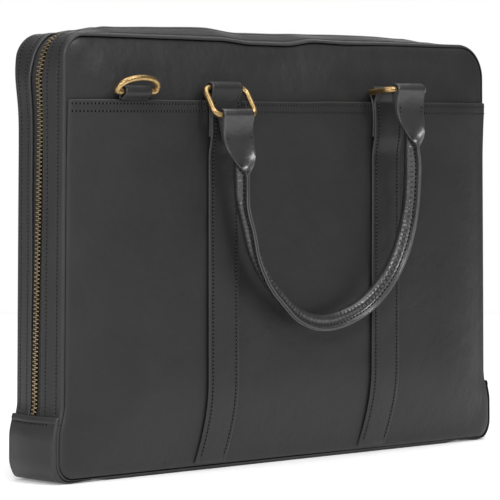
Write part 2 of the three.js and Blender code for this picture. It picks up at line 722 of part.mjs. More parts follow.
// Rolled handle: a leaf folded over each ring's far bar, and the grip hanging between them
function handle() {
  const ends = straps.map((row) => {
    const bar = ringBar(row);
    const angle = row.droop * Math.PI / 180;
    const reach = ringLength - 2 * wireRadius;
    return new THREE.Vector3(
      row.centre,
      -(seamPlane + bar.out + reach * Math.cos(angle)),
      bar.z - reach * Math.sin(angle),
    );
  });
  const hang = handleHang.map(({ across, height, stand }) => new THREE.Vector3(
    across * handleReach,
    -(seamPlane + stand * handleStand),
    pocketTop + hangLevel + (height - 1) * handleDrop,
  ));
  const drop = (loopInner + loopOuter) / 2;
  const starts = ends.map((end, i) => {
    const next = i === 0 ? hang[0] : hang.at(-1);
    return end.clone().addScaledVector(next.clone().sub(end).normalize(), drop);
  });
  const route = new THREE.CatmullRomCurve3([starts[0], ...hang, starts[1]], false, 'centripetal');
  const length = route.getLength();
  const leafStops = [0, 0.15, 0.4, 0.65, 0.85, 1].map((share) => share * leafLength / length);
  const gripSteps = 19;
  const stops = [...leafStops];
  for (let i = 1; i < gripSteps; i += 1) {
    stops.push(leafStops.at(-1) + (1 - 2 * leafStops.at(-1)) * i / gripSteps);
  }
  leafStops.slice().reverse().forEach((stop) => stops.push(1 - stop));
  const forward = new THREE.Vector3(0, -1, 0);
  const body = loft(stops.map((stop) => {
    const p = route.getPointAt(stop);
    const share = clamp(Math.min(stop, 1 - stop) * length / leafLength);
    const tangent = route.getTangentAt(stop);
    tangent.x *= smooth(share * 2);
    tangent.normalize();
    const outward = new THREE.Vector3(tangent.z, 0, -tangent.x).normalize();
    const turn = flangeTurn * Math.max(0, -outward.z) ** 2;
    const front = forward.clone().addScaledVector(outward, turn);
    front.addScaledVector(tangent, -front.dot(tangent)).normalize();
    const side = tangent.clone().cross(front);
    return gripSection(share).map(({ across, front: ahead }) => p.clone()
      .addScaledVector(side, across)
      .addScaledVector(front, ahead));
  }));
  const loops = ends.map((end) => {
    const shape = new THREE.Shape().absarc(-(end.y + seamPlane), end.z, loopOuter, 0, 2 * Math.PI, false);
    shape.holes.push(new THREE.Path().absarc(-(end.y + seamPlane), end.z, loopInner, 0, 2 * Math.PI, true));
    return acrossBag(shape, end.x, tabWidth);
  });
  return fuse([body, ...loops]);
}

const bag = new THREE.Group();

function add(name, geometry, material, parent = bag) {
  const mesh = new THREE.Mesh(geometry, material);
  mesh.name = name;
  parent.add(mesh);
}

add('front_panel', panel({ top: seamTop, swell: crown, lift: () => 0, depth: 0 }), leather);
add('pocket_panel', panel({ top: pocketTop, swell: crown, lift: pocketLift, depth: 0 }), leather);
add('gusset_front_band', gussetBand('front'), leather);
add('gusset_back_band', gussetBand('back'), leather);
add('base_gusset', baseGusset(), leather);
add('zip_tape_front', zipTape('front'), tapeCloth);
add('zip_tape_back', zipTape('back'), tapeCloth);
add('zip_chain', zipChain(), brass);
add('zip_slider', zipSlider(), brass);

// Pieces of one face of the bag; the back is the same face turned half round
function dressFace(side, parent) {
  straps.forEach((row) => {
    add(`${side}_strap_${row.name}`, strap(side, row), leather, parent);
    add(`${side}_ring_${row.name}`, ring(row), brass, parent);
  });
  add(`${side}_handle`, handle(), leather, parent);
  add(`${side}_d_ring_keeper`, dRingKeeper(side), leather, parent);
  add(`${side}_d_ring`, dRing(side), brass, parent);
}

dressFace('front', bag);
const back = new THREE.Group();
back.rotation.z = Math.PI;
bag.add(back);
dressFace('back', back);

// The back panel keeps the outline's left and right, so it is mirrored and not turned
function mirrorDepth(geometry) {
  geometry.scale(1, -1, 1);
  geometry.setIndex(Array.from(geometry.index.array).reverse());
  geometry.computeVertexNormals();
  return geometry;
}

const backFace = panel({ top: seamTop, swell: backCrown, lift: () => 0, depth: gussetDepth });
add('back_panel', mirrorDepth(backFace), leather);
add('corner_patch_left', cornerPatch('left'), leather);
add('corner_patch_right', cornerPatch('right'), leather);

export default bag;
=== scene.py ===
import math

import bpy
import numpy as np
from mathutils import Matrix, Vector


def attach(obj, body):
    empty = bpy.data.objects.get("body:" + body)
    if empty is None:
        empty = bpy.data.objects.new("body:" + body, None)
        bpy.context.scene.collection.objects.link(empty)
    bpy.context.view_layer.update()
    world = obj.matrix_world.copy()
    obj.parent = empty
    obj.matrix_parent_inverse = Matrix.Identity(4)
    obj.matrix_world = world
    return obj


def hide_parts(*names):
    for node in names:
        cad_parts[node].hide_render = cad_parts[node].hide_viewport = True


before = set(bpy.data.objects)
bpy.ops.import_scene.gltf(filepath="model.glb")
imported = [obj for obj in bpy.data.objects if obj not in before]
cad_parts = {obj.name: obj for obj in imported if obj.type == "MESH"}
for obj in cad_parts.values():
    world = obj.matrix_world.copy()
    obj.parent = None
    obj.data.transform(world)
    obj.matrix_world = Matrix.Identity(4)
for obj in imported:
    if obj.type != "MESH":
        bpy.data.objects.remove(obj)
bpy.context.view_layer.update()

# Slim leather laptop bag, drawn in millimetres and turned into metres as each mesh is made.
# X runs along the width, the front faces -Y, +Z is up.
MM = 0.001

# Body at the seam between a panel and the gusset
SEAM_HALF_WIDTH = 193
SEAM_TOP = 281.5
SEAM_BOTTOM = 4.2
GUSSET_DEPTH = 44.6
SEAM_PLANE = GUSSET_DEPTH / 2
CORNER_TOP_LEFT = 13
CORNER_TOP_RIGHT = 22
CORNER_BOTTOM = 11
SIDE_TAPER = 3.4
FOOT_FLARE = 4.2
FLARE_TOP = 50
FLARE_BOTTOM = 28

# Leather, cloth and the clearance between pieces
WALL = 1.8
TAPE_WALL = 1
CLEARANCE = 0.3
SEAM_GAP = -0.1
RIM_STEPS = 5
RIM_BULGE = 0.8
CUT_EDGE_WEAR = 0.75

# Crown of the panels and the roll of their turned edges
PANEL_TUCK = 1.6
PANEL_ROLL = 0.9
PANEL_ROLL_RUN = 1.7
CROWN = 15.5
CROWN_RUN = 57
BACK_CROWN = CROWN + WALL + CLEARANCE
CORNER_SOFT_FROM = 0.45
# The tuck of the right end's seam is shallower by this much, growing over this width
TUCK_LOSS = 1.3
TUCK_WIDTH = 120
# Line along a panel's turned edge, lighter from rubbed wear and from a painted highlight on its ridge: distance
# from the seam, width and how much lighter
RUBBED_EDGE_AND_HIGHLIGHT = (1.3, 1.2, 0.22)

# Gusset: rolled edge, arch and the zip's gap
EDGE_LIFT = 0.2
EDGE_ROLL = 1.9
ROLL_STEPS = 5
SIDE_ARCH = 5
TOP_ARCH = 9
ZIP_GAP = 10.4
BAND_DEPTH = SEAM_PLANE - ZIP_GAP / 2
CHAIN_THICKNESS = 2.6
ZIP_RECESS = 0.7
TEETH_RECESS = 1.0
ZIP_FOOT = 38
TEETH_WIDTH = 5.2
TOOTH_PITCH = 2.55
SLIDER_FOOT = 72

# Corner patches and base
PATCH_HEIGHT = 42.5
PATCH_RUN = 26
PATCH_HEM = 3.6
PATCH_HEM_RISE = 0.55
PATCH_STEP = 2.2
BASE_SLOPE = 15
FOOT_PRESS = 1.6
FOOT_PRESS_RISE = 26
PATCH_FADE = 16

# Slip pocket
POCKET_TOP = 0.86 * SEAM_TOP
POCKET_GAPE = 1.3
GAPE_REACH = 42
POCKET_HEM = 9.6
POCKET_HEM_RISE = 0.35

# Straps
STRAP_WIDTH = 26.5
STRAP_FOOT = 6.4
STRAP_TAIL = 24
STRAP_RAMP = 14
STRAP_CROWN = 0.2
STRAPS = (
    # name, centre, rise of its loop above the pocket's edge, droop of its ring
    ("left", -73.5, 8, 58),
    ("right", 76.9, 6.4, -5),
)

# Brass wire, rings and D-rings
WIRE_RADIUS = 2
WIRE_SIDES = 18
RING_WIDTH = 40
RING_LENGTH = 24.6
RING_CORNER = 5
D_RING_CENTRE = SEAM_HALF_WIDTH - 44.7
D_RING_WIDTH = 36.8
D_RING_HEIGHT = 15
D_RING_LEAN = 38
KEEPER_WIDTH = 21.8
KEEPER_RISE = 4.9
KEEPER_SEAT = 1.2
KEEPER_TAIL = 20
LOOP_INNER = WIRE_RADIUS + CLEARANCE + 0.05
LOOP_MIDDLE = LOOP_INNER + WALL / 2

# Handles
GRIP_RADIUS = 4
FLANGE_LENGTH = 4.6
FLANGE_THICKNESS = 2.6
TAB_WIDTH = 26
TAB_THICKNESS = 4
LEAF_LENGTH = 35
HANG_LEVEL = 8.6
LEAF_HEAD = 1
HANDLE_REACH = 77.5
HANDLE_DROP = 154.6
HANDLE_STAND = 25
FLANGE_TURN = 1.3
FLANGE_SIDE = 0.35

# Top edge: share of the half width, drop as a share of TOP_SAG, arch as a share of TOP_ARCH
TOP_SAG = 2.5
SAG_FROM = 0.8
TOP_LINE = {
    "across": (-1, -0.92, -0.86, -0.76, -0.55, -0.33, -0.16, -0.01, 0.13, 0.3, 0.5, 0.66, 0.76, 0.87, 1),
    "drop": (0, -0.15, -0.15, -0.1, 0, 0.1, 0.95, 1, -0.1, 0.2, 0.05, 0.1, 0.15, 0.1, 0),
    "rise": (0.15, 0.34, 0.58, 0.88, 1.03, 1.14, 1.04, 1.02, 0.76, 0.9, 0.84, 0.74, 0.48, 0.28, 0.25),
}
ARCH_EASE = {"from": 0.9, "over": 0.085, "loss": 0.82}
EAR = {"swell": 3.2, "height": 0.925, "reach": 0.07}

# Hang of the front handle: shares of the reach, the drop and the stand
HANDLE_HANG = (
    # across, height, stand
    (-0.915, 0.65, 1.18),
    (-0.895, 0.54, 1.16),
    (-0.82, 0.43, 1.12),
    (-0.73, 0.31, 1.08),
    (-0.585, 0.2, 1.04),
    (-0.42, 0.12, 1.02),
    (-0.24, 0.05, 1),
    (-0.05, 0.01, 1),
    (0.15, 0, 1),
    (0.37, 0.02, 1.02),
    (0.6, 0.07, 1.08),
    (0.79, 0.155, 1.16),
    (0.93, 0.26, 1.24),
    (1.01, 0.38, 1.32),
    (1.035, 0.49, 1.4),
    (1.03, 0.61, 1.48),
    (1, 0.735, 1.57),
)

# Sewing
STITCH_PITCH = 2.5
STITCH_LENGTH = 1.75
THREAD_RADIUS = 0.34
GROOVE_DEPTH = 0.15
GROOVE_WIDTH = 0.8
STRAP_STITCH_INSET = 3.1
KEEPER_STITCH_INSET = 2.4
STITCH_SIDES = 6
POCKET_STITCHES = (2.7, 7.4)
BAND_STITCHES = (4.4, BAND_DEPTH - 4.2)
BAND_GROOVE = 0.15
BAND_THREAD = 0.28
HANDLE_STITCH = {"pitch": 2.9, "length": 2.0, "radius": 0.36}

# A stitch's rounded ends: place along its half length, share of the thread's radius
CAPSULE = ((-1, 0.35), (-0.8, 0.85), (0, 1.0), (0.8, 0.85), (1, 0.35))

# Creases across the handle: height, distance apart, stray and the distance over which they stray
CREASES = ((0.3, 3.4, 1.3, 11), (0.2, 2.3, 2, 17))

# Slider: height above its foot, half width and height over the zip
SLIDER_BODY = ((0, 2.6, 0.9), (0.5, 3.1, 1.3), (2, 3.5, 1.6), (6, 3.5, 1.7), (9.5, 3.3, 1.6),
               (11.5, 2.7, 1.3), (12, 2.2, 0.9))
BRIDGE_START = 3
BRIDGE_LENGTH = 7
BRIDGE_RISE = 1.5
PULL_EYE = 5
PULL_HALF_WIDTH = 3.4
PULL_HEAD = 3
PULL_TAIL = 21.5

# The back's straps, rings and handle are the front's, turned half round
TURN = {"front": np.array([1, 1, 1]), "back": np.array([-1, -1, 1])}

rng = np.random.default_rng(7)


# Shader maths

class Wire:
    """A socket of numbers that adds Math nodes when it is used in an expression."""

    def __init__(self, shade, socket):
        self.shade = shade
        self.socket = socket

    def maths(self, operation, first, second):
        return self.shade.node("ShaderNodeMath", {"operation": operation}, {0: first, 1: second})

    def __add__(self, other):
        return self.maths("ADD", self, other)

    def __sub__(self, other):
        return self.maths("SUBTRACT", self, other)

    def __mul__(self, other):
        return self.maths("MULTIPLY", self, other)

    def __rsub__(self, other):
        return self.maths("SUBTRACT", other, self)

    def __pow__(self, other):
        return self.maths("POWER", self, other)

    __radd__ = __add__
    __rmul__ = __mul__


class Shade:
    """A node material whose nodes are all made by one method."""

    def __init__(self, name):
        self.material = bpy.data.materials.new(name)
        self.material.use_nodes = True
        self.tree = self.material.node_tree
        self.surface = self.tree.nodes["Principled BSDF"]

    def node(self, kind, settings=None, inputs=None, output=0):
        made = self.tree.nodes.new(kind)
        for key, value in (settings or {}).items():
            if key == "stops":
                ramp = made.color_ramp
                while len(ramp.elements) < len(value):
                    ramp.elements.new(1)
                for element, (place, grey) in zip(ramp.elements, value):
                    element.position = place
                    element.color = (grey, grey, grey, 1)
            else:
                setattr(made, key, value)
        for key, value in (inputs or {}).items():
            self.feed(made.inputs[key], value)
        return Wire(self, made.outputs[output])

    def feed(self, socket, value):
        if isinstance(value, Wire):
            self.tree.links.new(value.socket, socket)
        else:
            socket.default_value = value

    def place(self):
        return self.node("ShaderNodeTexCoord", output="Object")

    def stretched(self, scale):
        return self.node("ShaderNodeMapping", {}, {"Vector": self.place(), "Scale": scale})

    def noise(self, scale, detail=2.0, rough=0.5, place=None):
        return self.node("ShaderNodeTexNoise", {}, {
            "Vector": place or self.place(), "Scale": scale, "Detail": detail, "Roughness": rough})

    def ramp(self, factor, *stops):
        return self.node("ShaderNodeValToRGB", {"stops": stops}, {0: factor})

    def attribute(self, name):
        return self.node("ShaderNodeAttribute", {"attribute_name": name}, output="Fac")

    def mix(self, factor, first, second):
        return self.node("ShaderNodeMix", {"data_type": "RGBA"}, {0: factor, 6: first, 7: second}, output=2)

    def bump(self, height, distance, under=None):
        inputs = {"Height": height, "Distance": distance, "Strength": 1.0}
        if under is not None:
            inputs["Normal"] = under
        return self.node("ShaderNodeBump", {}, inputs)

    def set(self, **values):
        for key, value in values.items():
            self.feed(self.surface.inputs[key.replace("_", " ")], value)
        return self.material


def grey(value, tint=0.0):
    return (value, value, value * (1 + tint), 1)


def smooth_leather(name, tone, gloss, creases=0.0, coat=0.06, specular=0.4):
    """Finished smooth leather with a fine grain, soft mottling and edges lighter, partly from rubbed wear and
    partly as a painted highlight.
    """
    shade = Shade(name)
    mottle = shade.noise(34, 4, 0.6)
    cloud = shade.noise(9, 2)
    grain = shade.noise(1500, 3, 0.62)
    pores = shade.node("ShaderNodeTexVoronoi", {"feature": "F1"}, {"Vector": shade.place(), "Scale": 900})
    streak = shade.noise(120, 3, 0.55, shade.stretched((1, 1, 0.7)))
    worn = shade.attribute("worn")
    patches = shade.ramp(mottle, (0.3, 0), (0.75, 1))
    body = shade.mix(patches, grey(tone * 0.8, 0.04), grey(tone * 1.15, 0.03))
    body = shade.mix(cloud * 0.4, body, grey(tone * 1.3, 0.02))
    # Lighter where the attribute is high: rubbed wear, and a painted highlight on edges and ridges
    colour = shade.mix(worn, body, grey(tone * 2.3, 0.02))
    rough = gloss + mottle * 0.12 + grain * 0.06 - worn * 0.1
    fine = shade.bump(grain + shade.ramp(pores, (0.1, 0), (0.5, 1)) * 0.5, 0.00005)
    normal = shade.bump(streak + mottle * 2, 0.0002 + creases * 0.0006, fine)
    return shade.set(Base_Color=colour, Roughness=rough, Normal=normal, Coat_Weight=coat, Coat_Roughness=0.22,
                     Specular_IOR_Level=specular)


def painted_needle_hole_shade():
    """Painted shade: near-black colour that reflects nothing, standing for the shadow in a needle's hole."""
    shade = Shade("painted_needle_hole_shade")
    return shade.set(Base_Color=shade.mix(shade.noise(900, 2), grey(0.0005), grey(0.002)), Roughness=0.9,
                     Specular_IOR_Level=0.0)


def waxed_thread():
    shade = Shade("waxed_thread")
    twist = shade.noise(2600, 2)
    colour = shade.mix(twist, grey(0.008), grey(0.02))
    return shade.set(Base_Color=colour, Roughness=twist * 0.2 + 0.45, Normal=shade.bump(twist, 0.0001))


def woven_tape():
    shade = Shade("woven_tape")
    rib = shade.node("ShaderNodeTexWave", {"bands_direction": "Z"}, {
        "Vector": shade.place(), "Scale": 420, "Distortion": 1.2, "Detail": 1})
    fuzz = shade.noise(1800, 3)
    colour = shade.mix(rib * 0.6 + fuzz * 0.4, grey(0.006), grey(0.03, 0.05))
    return shade.set(Base_Color=colour, Roughness=fuzz * 0.1 + 0.82, Normal=shade.bump(rib + fuzz, 0.0002))


def antique_brass(name, light, dark, gloss):
    """Brass with brown tarnish where it isn't rubbed bright, and painted shade where the attribute marks shaded
    sides.
    """
    shade = Shade(name)
    blotch = shade.noise(190, 4, 0.6)
    fine = shade.noise(1700, 3, 0.6)
    tarnish = shade.ramp(blotch * 0.75 + fine * 0.25, (0.4, 0), (0.66, 1))
    painted_shade = shade.attribute("worn")
    colour = shade.mix(tarnish * 0.55, light, dark)
    # Painted shade: darker on the wire's shaded side and on the teeth's sides and undersides
    colour = shade.mix(painted_shade, colour, dark)
    rough = gloss + tarnish * 0.22 + fine * 0.08
    normal = shade.bump(fine + blotch, 0.00005)
    return shade.set(Base_Color=colour, Metallic=1.0, Roughness=rough, Normal=normal)


def pale_floor():
    shade = Shade("pale_floor")
    cloud = shade.noise(2, 2)
    colour = shade.mix(cloud, grey(0.86), grey(0.9))
    return shade.set(Base_Color=colour, Roughness=cloud * 0.1 + 0.6, Emission_Color=grey(1),
                     Emission_Strength=0.22)


PANEL_LEATHER = smooth_leather("panel_leather", tone=0.012, gloss=0.41, creases=0.45, specular=0.3)
STRAP_LEATHER = smooth_leather("strap_leather", tone=0.0115, gloss=0.4, creases=0.4, specular=0.33)
GUSSET_LEATHER = smooth_leather("gusset_leather", tone=0.015, gloss=0.44)
HANDLE_LEATHER = smooth_leather("handle_leather", tone=0.016, gloss=0.26, creases=0.8, coat=0.5, specular=0.45)
THREAD = waxed_thread()
PAINTED_NEEDLE_HOLE_SHADE = painted_needle_hole_shade()
TAPE = woven_tape()
BRASS = antique_brass("antique_brass", light=(0.5, 0.34, 0.15, 1), dark=(0.07, 0.04, 0.018, 1), gloss=0.22)
ZIP_BRASS = antique_brass("zip_brass", light=(0.46, 0.36, 0.22, 1), dark=(0.07, 0.045, 0.025, 1), gloss=0.36)


# Meshes

def smooth(value):
    t = np.clip(value, 0, 1)
    return t * t * (3 - 2 * t)


def unit(vectors):
    return vectors / np.maximum(np.linalg.norm(vectors, axis=-1, keepdims=True), 1e-12)


def hug_ground(points):
    """The seams pressed down towards the ground that the bag stands on."""
    points = np.array(points, float)
    z = points[:, 2]
    points[:, 2] -= FOOT_PRESS * smooth(z / SEAM_BOTTOM) * (1 - smooth((z - SEAM_BOTTOM) / FOOT_PRESS_RISE))
    return points


def dress(name, points, faces, material, slot, replaces=(), body="bag", worn=None, sharp=50):
    """A piece of the bag made from points in millimetres, riding on a body."""
    mesh = bpy.data.meshes.new(name)
    mesh.from_pydata((hug_ground(points) * MM).tolist(), [], [list(f) for f in faces])
    mesh.validate()
    mesh.polygons.foreach_set("use_smooth", [True] * len(mesh.polygons))
    mesh.set_sharp_from_angle(angle=math.radians(sharp))
    # Per point: lightens leather for wear and painted highlight, darkens brass as painted shade
    shares = np.zeros(len(mesh.vertices)) if worn is None else np.asarray(worn, float)
    mesh.attributes.new("worn", "FLOAT", "POINT").data.foreach_set("value", shares)
    mesh.materials.append(material)
    piece = bpy.data.objects.new(name, mesh)
    bpy.context.scene.collection.objects.link(piece)
    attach(piece, body)
    if replaces:
        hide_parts(*replaces)
    return piece


def ring_faces(rings, count, looped=False):
    """Faces between rings of points that follow each other, closed at the ends unless looped."""
    spans = rings if looped else rings - 1
    here = np.arange(spans)[:, None] * count
    on = (np.arange(spans)[:, None] + 1) % rings * count
    point = np.arange(count)[None, :]
    following = np.roll(point, -1)
    faces = np.stack([here + point, here + following, on + following, on + point], -1)
    faces = faces.reshape(-1, 4).tolist()
    if not looped:
        faces.append(list(range(count))[::-1])
        faces.append(list(range((rings - 1) * count, rings * count)))
    return faces


def outward(points, faces):
    """The same faces, turned so that they point out of the closed body."""
    points = np.asarray(points, float)
    volume = 0.0
    for size in sorted({len(face) for face in faces}):
        group = points[np.array([face for face in faces if len(face) == size])]
        for i in range(1, size - 1):
            volume += (group[:, 0] * np.cross(group[:, i], group[:, i + 1])).sum()
    return faces if volume > 0 else [list(reversed(face)) for face in faces]


def loft(name, rings, material, slot, looped=False, **more):
    """A closed piece skinned over rings of points."""
    rings = np.asarray(rings, float)
    points = rings.reshape(-1, 3)
    faces = outward(points, ring_faces(len(rings), rings.shape[1], looped))
    return dress(name, points, faces, material, slot, **more)


def sheet(name, grid, facing, worn):
    """A panel of leather from a grid of points on its outer face, with rounded cut edges."""
    rows, cols = grid.shape[:2]
    along = np.gradient(grid, axis=0)
    across = np.gradient(grid, axis=1)
    normal = unit(np.cross(along, across))
    if (normal * facing).sum() < 0:
        normal = -normal
    inner = grid - normal * WALL
    index = np.arange(rows * cols).reshape(rows, cols)
    border = np.concatenate([index[0, :-1], index[:-1, -1], index[-1, :0:-1], index[:0:-1, 0]])
    out = np.zeros_like(grid)
    out[0] -= unit(along[0])
    out[-1] += unit(along[-1])
    out[:, 0] -= unit(across[:, 0])
    out[:, -1] += unit(across[:, -1])
    out = unit(out).reshape(-1, 3)[border]
    top = grid.reshape(-1, 3)[border]
    low = inner.reshape(-1, 3)[border]
    middle = (top + low) / 2
    total = rows * cols
    rims = []
    for k in range(1, RIM_STEPS):
        turn = k / RIM_STEPS * math.pi
        rims.append(middle + (top - middle) * math.cos(turn) + out * WALL / 2 * RIM_BULGE * math.sin(turn))
    points = np.concatenate([grid.reshape(-1, 3), *rims, inner.reshape(-1, 3)])
    length = len(border)
    loops = [border]
    for k in range(RIM_STEPS - 1):
        loops.append(total + k * length + np.arange(length))
    inner_start = total + (RIM_STEPS - 1) * length
    loops.append(inner_start + border)
    quads = np.stack([index[:-1, :-1], index[:-1, 1:], index[1:, 1:], index[1:, :-1]], -1).reshape(-1, 4)
    faces = quads.tolist() + (quads[:, ::-1] + inner_start).tolist()
    for here, there in zip(loops, loops[1:]):
        faces += np.stack([here, there, np.roll(there, -1), np.roll(here, -1)], -1).tolist()
    # Turned edge lighter from wear and painted highlight; the cut edge lighter as edge paint
    shares = np.zeros(len(points))
    shares[:total] = worn.reshape(-1)
    shares[total:inner_start] = CUT_EDGE_WEAR
    return dress(name, points, outward(points, faces), PANEL_LEATHER, "leather", worn=shares,
                 replaces=(name,))


def run_length(line):
    """Distance along a line at each of its points."""
    return np.concatenate([[0], np.cumsum(np.linalg.norm(np.diff(line, axis=0), axis=1))])


def points_at(at, run, line):
    """Points of a line at distances along it."""
    return np.stack([np.interp(at, run, line[:, i]) for i in range(line.shape[1])], -1)


def edge_band(distance, centre, width, depth):
    """A narrow line of a height, wear or depth at a distance from an edge."""
    return depth * np.exp(-((distance - centre) / width) ** 2)


def sweep(path, normal, section, centre):
    """A section carried along a path of (distance in front of the seam plane, height)."""
    out = path[:, 0][:, None] + normal[:, 0][:, None] * section[:, 1][None, :]
    z = path[:, 1][:, None] + normal[:, 1][:, None] * section[:, 1][None, :]
    x = np.broadcast_to(centre + section[:, 0][None, :], out.shape)
    return np.stack([x, -(SEAM_PLANE + out), z], -1)


# Forms of the body

def top_line(x, column):
    share = np.clip(np.asarray(x, float) / SEAM_HALF_WIDTH, -1, 1)
    across = np.array(TOP_LINE["across"])
    value = np.array(TOP_LINE[column])
    above = np.clip(np.searchsorted(across, share), 1, len(across) - 1)
    low = above - 1
    t = smooth((share - across[low]) / (across[above] - across[low]))
    return value[low] + (value[above] - value[low]) * t


def settle(x, z, depth=0.0):
    """Where a point of the plain outline lands on the real one, which leans, flares and sags."""
    x = np.asarray(x, float)
    z = np.asarray(z, float)
    height = z / SEAM_TOP
    lean = SIDE_TAPER * (0.5 - height)
    flare = FOOT_FLARE * (1 - smooth((z - FLARE_BOTTOM) / (FLARE_TOP - FLARE_BOTTOM)))
    drop = TOP_SAG * top_line(x, "drop") * smooth((height - SAG_FROM) / (1 - SAG_FROM))
    offset = (height - EAR["height"]) / EAR["reach"]
    in_ear = np.where(x < 0, (x / SEAM_HALF_WIDTH) ** 2 * np.exp(-offset * offset), 0)
    push = EAR["swell"] * in_ear * smooth(np.asarray(depth, float) / GUSSET_DEPTH)
    return x * (1 + (lean + flare) / SEAM_HALF_WIDTH) - push, z - drop


def corner_radius(x, z):
    return np.where(z > SEAM_TOP / 2, np.where(x < 0, CORNER_TOP_LEFT, CORNER_TOP_RIGHT), CORNER_BOTTOM)


def corner_reach(x, z):
    """Distances into the crowned border, the share of the way to the seam and to a square seam."""
    dx = np.maximum(np.abs(x) - (SEAM_HALF_WIDTH - CROWN_RUN), 0)
    dz = np.maximum(np.maximum(SEAM_BOTTOM + CROWN_RUN - z, z - (SEAM_TOP - CROWN_RUN)), 0)
    reach = np.hypot(dx, dz)
    safe = np.maximum(reach, 1e-9)
    ux, uz = dx / safe, dz / safe
    radius = corner_radius(x, z)
    flat = CROWN_RUN - radius
    square = CROWN_RUN / np.maximum(np.maximum(ux, uz), 1e-9)
    along = flat * (ux + uz)
    rounded = along + np.sqrt(np.maximum(along * along - 2 * flat * flat + radius * radius, 0))
    extent = np.where(np.minimum(ux, uz) * square > flat, rounded, square)
    return dx, dz, reach, extent, square


def panel_share(x, z):
    dx, dz, reach, extent, _ = corner_reach(x, z)
    share = np.where(reach > 0, np.clip(reach / extent, 0, 1), 0)
    soft = np.clip(((dx / CROWN_RUN) ** 3 + (dz / CROWN_RUN) ** 3) ** (1 / 3), 0, 1)
    return share + (soft - share) * (1 - smooth((share - CORNER_SOFT_FROM) / (1 - CORNER_SOFT_FROM)))


def panel_swell(x, z, swell=CROWN):
    share = panel_share(x, z)
    return swell * (1 - share * share) - PANEL_TUCK


def rolled_swell(x, z, swell, edge_distance):
    """The panel's skin with its turned edge, which rolls down into the seam."""
    share = panel_share(x, z)
    t = np.clip(edge_distance / PANEL_ROLL_RUN, 0, 1)
    roll = PANEL_ROLL * np.sqrt(1 - (1 - t) ** 2)
    tuck = PANEL_TUCK - TUCK_LOSS * smooth((share - 0.8) / 0.2) * smooth(np.asarray(x) / TUCK_WIDTH)
    return (swell - PANEL_ROLL) * (1 - share * share) - tuck + roll


def pocket_lift(z):
    return WALL + CLEARANCE + POCKET_GAPE * smooth((z - POCKET_TOP) / GAPE_REACH + 1)


def strap_bed(z, side):
    base = panel_swell(0, z, CROWN if side == "front" else BACK_CROWN)
    return base + (pocket_lift(z) if side == "front" else 0)


def ring_bar(rise):
    return float(strap_bed(POCKET_TOP, "front")) + CLEARANCE + WALL, POCKET_TOP + rise


# Steps from a seam inwards, close together where the leather turns
BORDER_STEPS = (0, 0.25, 0.55, 0.95, 1.4, 2, 2.8, 3.8, 5, 6.5, 8.2, 10, 12.5, 15, 18, 21, 24.5, 28, 32,
                36, 40.5, 45.5, 51, 57)


def spread(low, high, step):
    """Border steps from both ends and even steps between them."""
    ends = np.array(BORDER_STEPS)
    count = max(1, round((high - low - 2 * ends[-1]) / step))
    middle = np.linspace(low + ends[-1], high - ends[-1], count + 1)[1:-1]
    return np.concatenate([low + ends, middle, (high - ends)[::-1]])


def round_corners(x, z):
    """Draws a square grid's corners in to the rounded outline."""
    dx, dz, reach, extent, square = corner_reach(x, z)
    pull = np.where(reach > 0, extent / square, 1)
    inner_x = np.minimum(np.abs(x), SEAM_HALF_WIDTH - CROWN_RUN)
    inner_z = np.clip(z, SEAM_BOTTOM + CROWN_RUN, SEAM_TOP - CROWN_RUN)
    side = np.sign(z - inner_z)
    return np.sign(x) * (inner_x + dx * pull), inner_z + side * dz * pull


# Soft dents and swells of a panel: place as shares of the body, size in shares of it, height in mm
PANEL_DENTS = (
    # across, height, width, tall, lift
    (-0.86, 0.9, 0.1, 0.07, 1.1),
    (-0.1, 0.955, 0.16, 0.07, -1.6),
    (0.22, 0.94, 0.1, 0.06, 0.8),
    (-0.6, 0.88, 0.14, 0.06, -0.5),
    (0.6, 0.93, 0.2, 0.05, 0.5),
    (-0.84, 0.5, 0.08, 0.3, 0.4),
    (-0.1, 0.35, 0.3, 0.25, -0.6),
    (0.75, 0.35, 0.12, 0.4, -0.5),
    (-0.65, 0.2, 0.2, 0.15, 0.4),
)


def dents(x, z, share):
    """Height of the soft dents at a point, fading to nothing at the seam."""
    total = np.zeros_like(x)
    for across, height, width, tall, lift in PANEL_DENTS:
        fall = ((x / SEAM_HALF_WIDTH - across) / width) ** 2 + ((z / SEAM_TOP - height) / tall) ** 2
        total += lift * np.exp(-fall)
    return total * (1 - smooth((share - 0.75) / 0.25))


def panel_skin(x, z, swell, lift, depth, edge_distance):
    seat_x, seat_z = settle(x, z, depth)
    out = rolled_swell(x, z, swell, edge_distance) + lift
    out = out + dents(x, z, panel_share(x, z))
    return np.stack([seat_x, -(SEAM_PLANE + out), seat_z], -1)


def panel(name, swell, depth, low=SEAM_BOTTOM, flip=False):
    xs = spread(-SEAM_HALF_WIDTH + SEAM_GAP, SEAM_HALF_WIDTH - SEAM_GAP, 2.5)
    zs = spread(SEAM_BOTTOM + SEAM_GAP, SEAM_TOP - SEAM_GAP, 5)
    zs = zs[zs >= low]
    x, z = np.meshgrid(xs, zs)
    nearest_end = np.minimum(z - SEAM_BOTTOM, SEAM_TOP - z)
    square_gap = np.minimum(SEAM_HALF_WIDTH - np.abs(x), nearest_end) - SEAM_GAP
    x, z = round_corners(x, z)
    grid = panel_skin(x, z, swell, 0, depth, square_gap)
    facing = np.array([0, -1, 0])
    if flip:
        grid = grid * np.array([1, -1, 1])
        facing = -facing
    return sheet(name, grid, facing, edge_band(square_gap, *RUBBED_EDGE_AND_HIGHLIGHT))


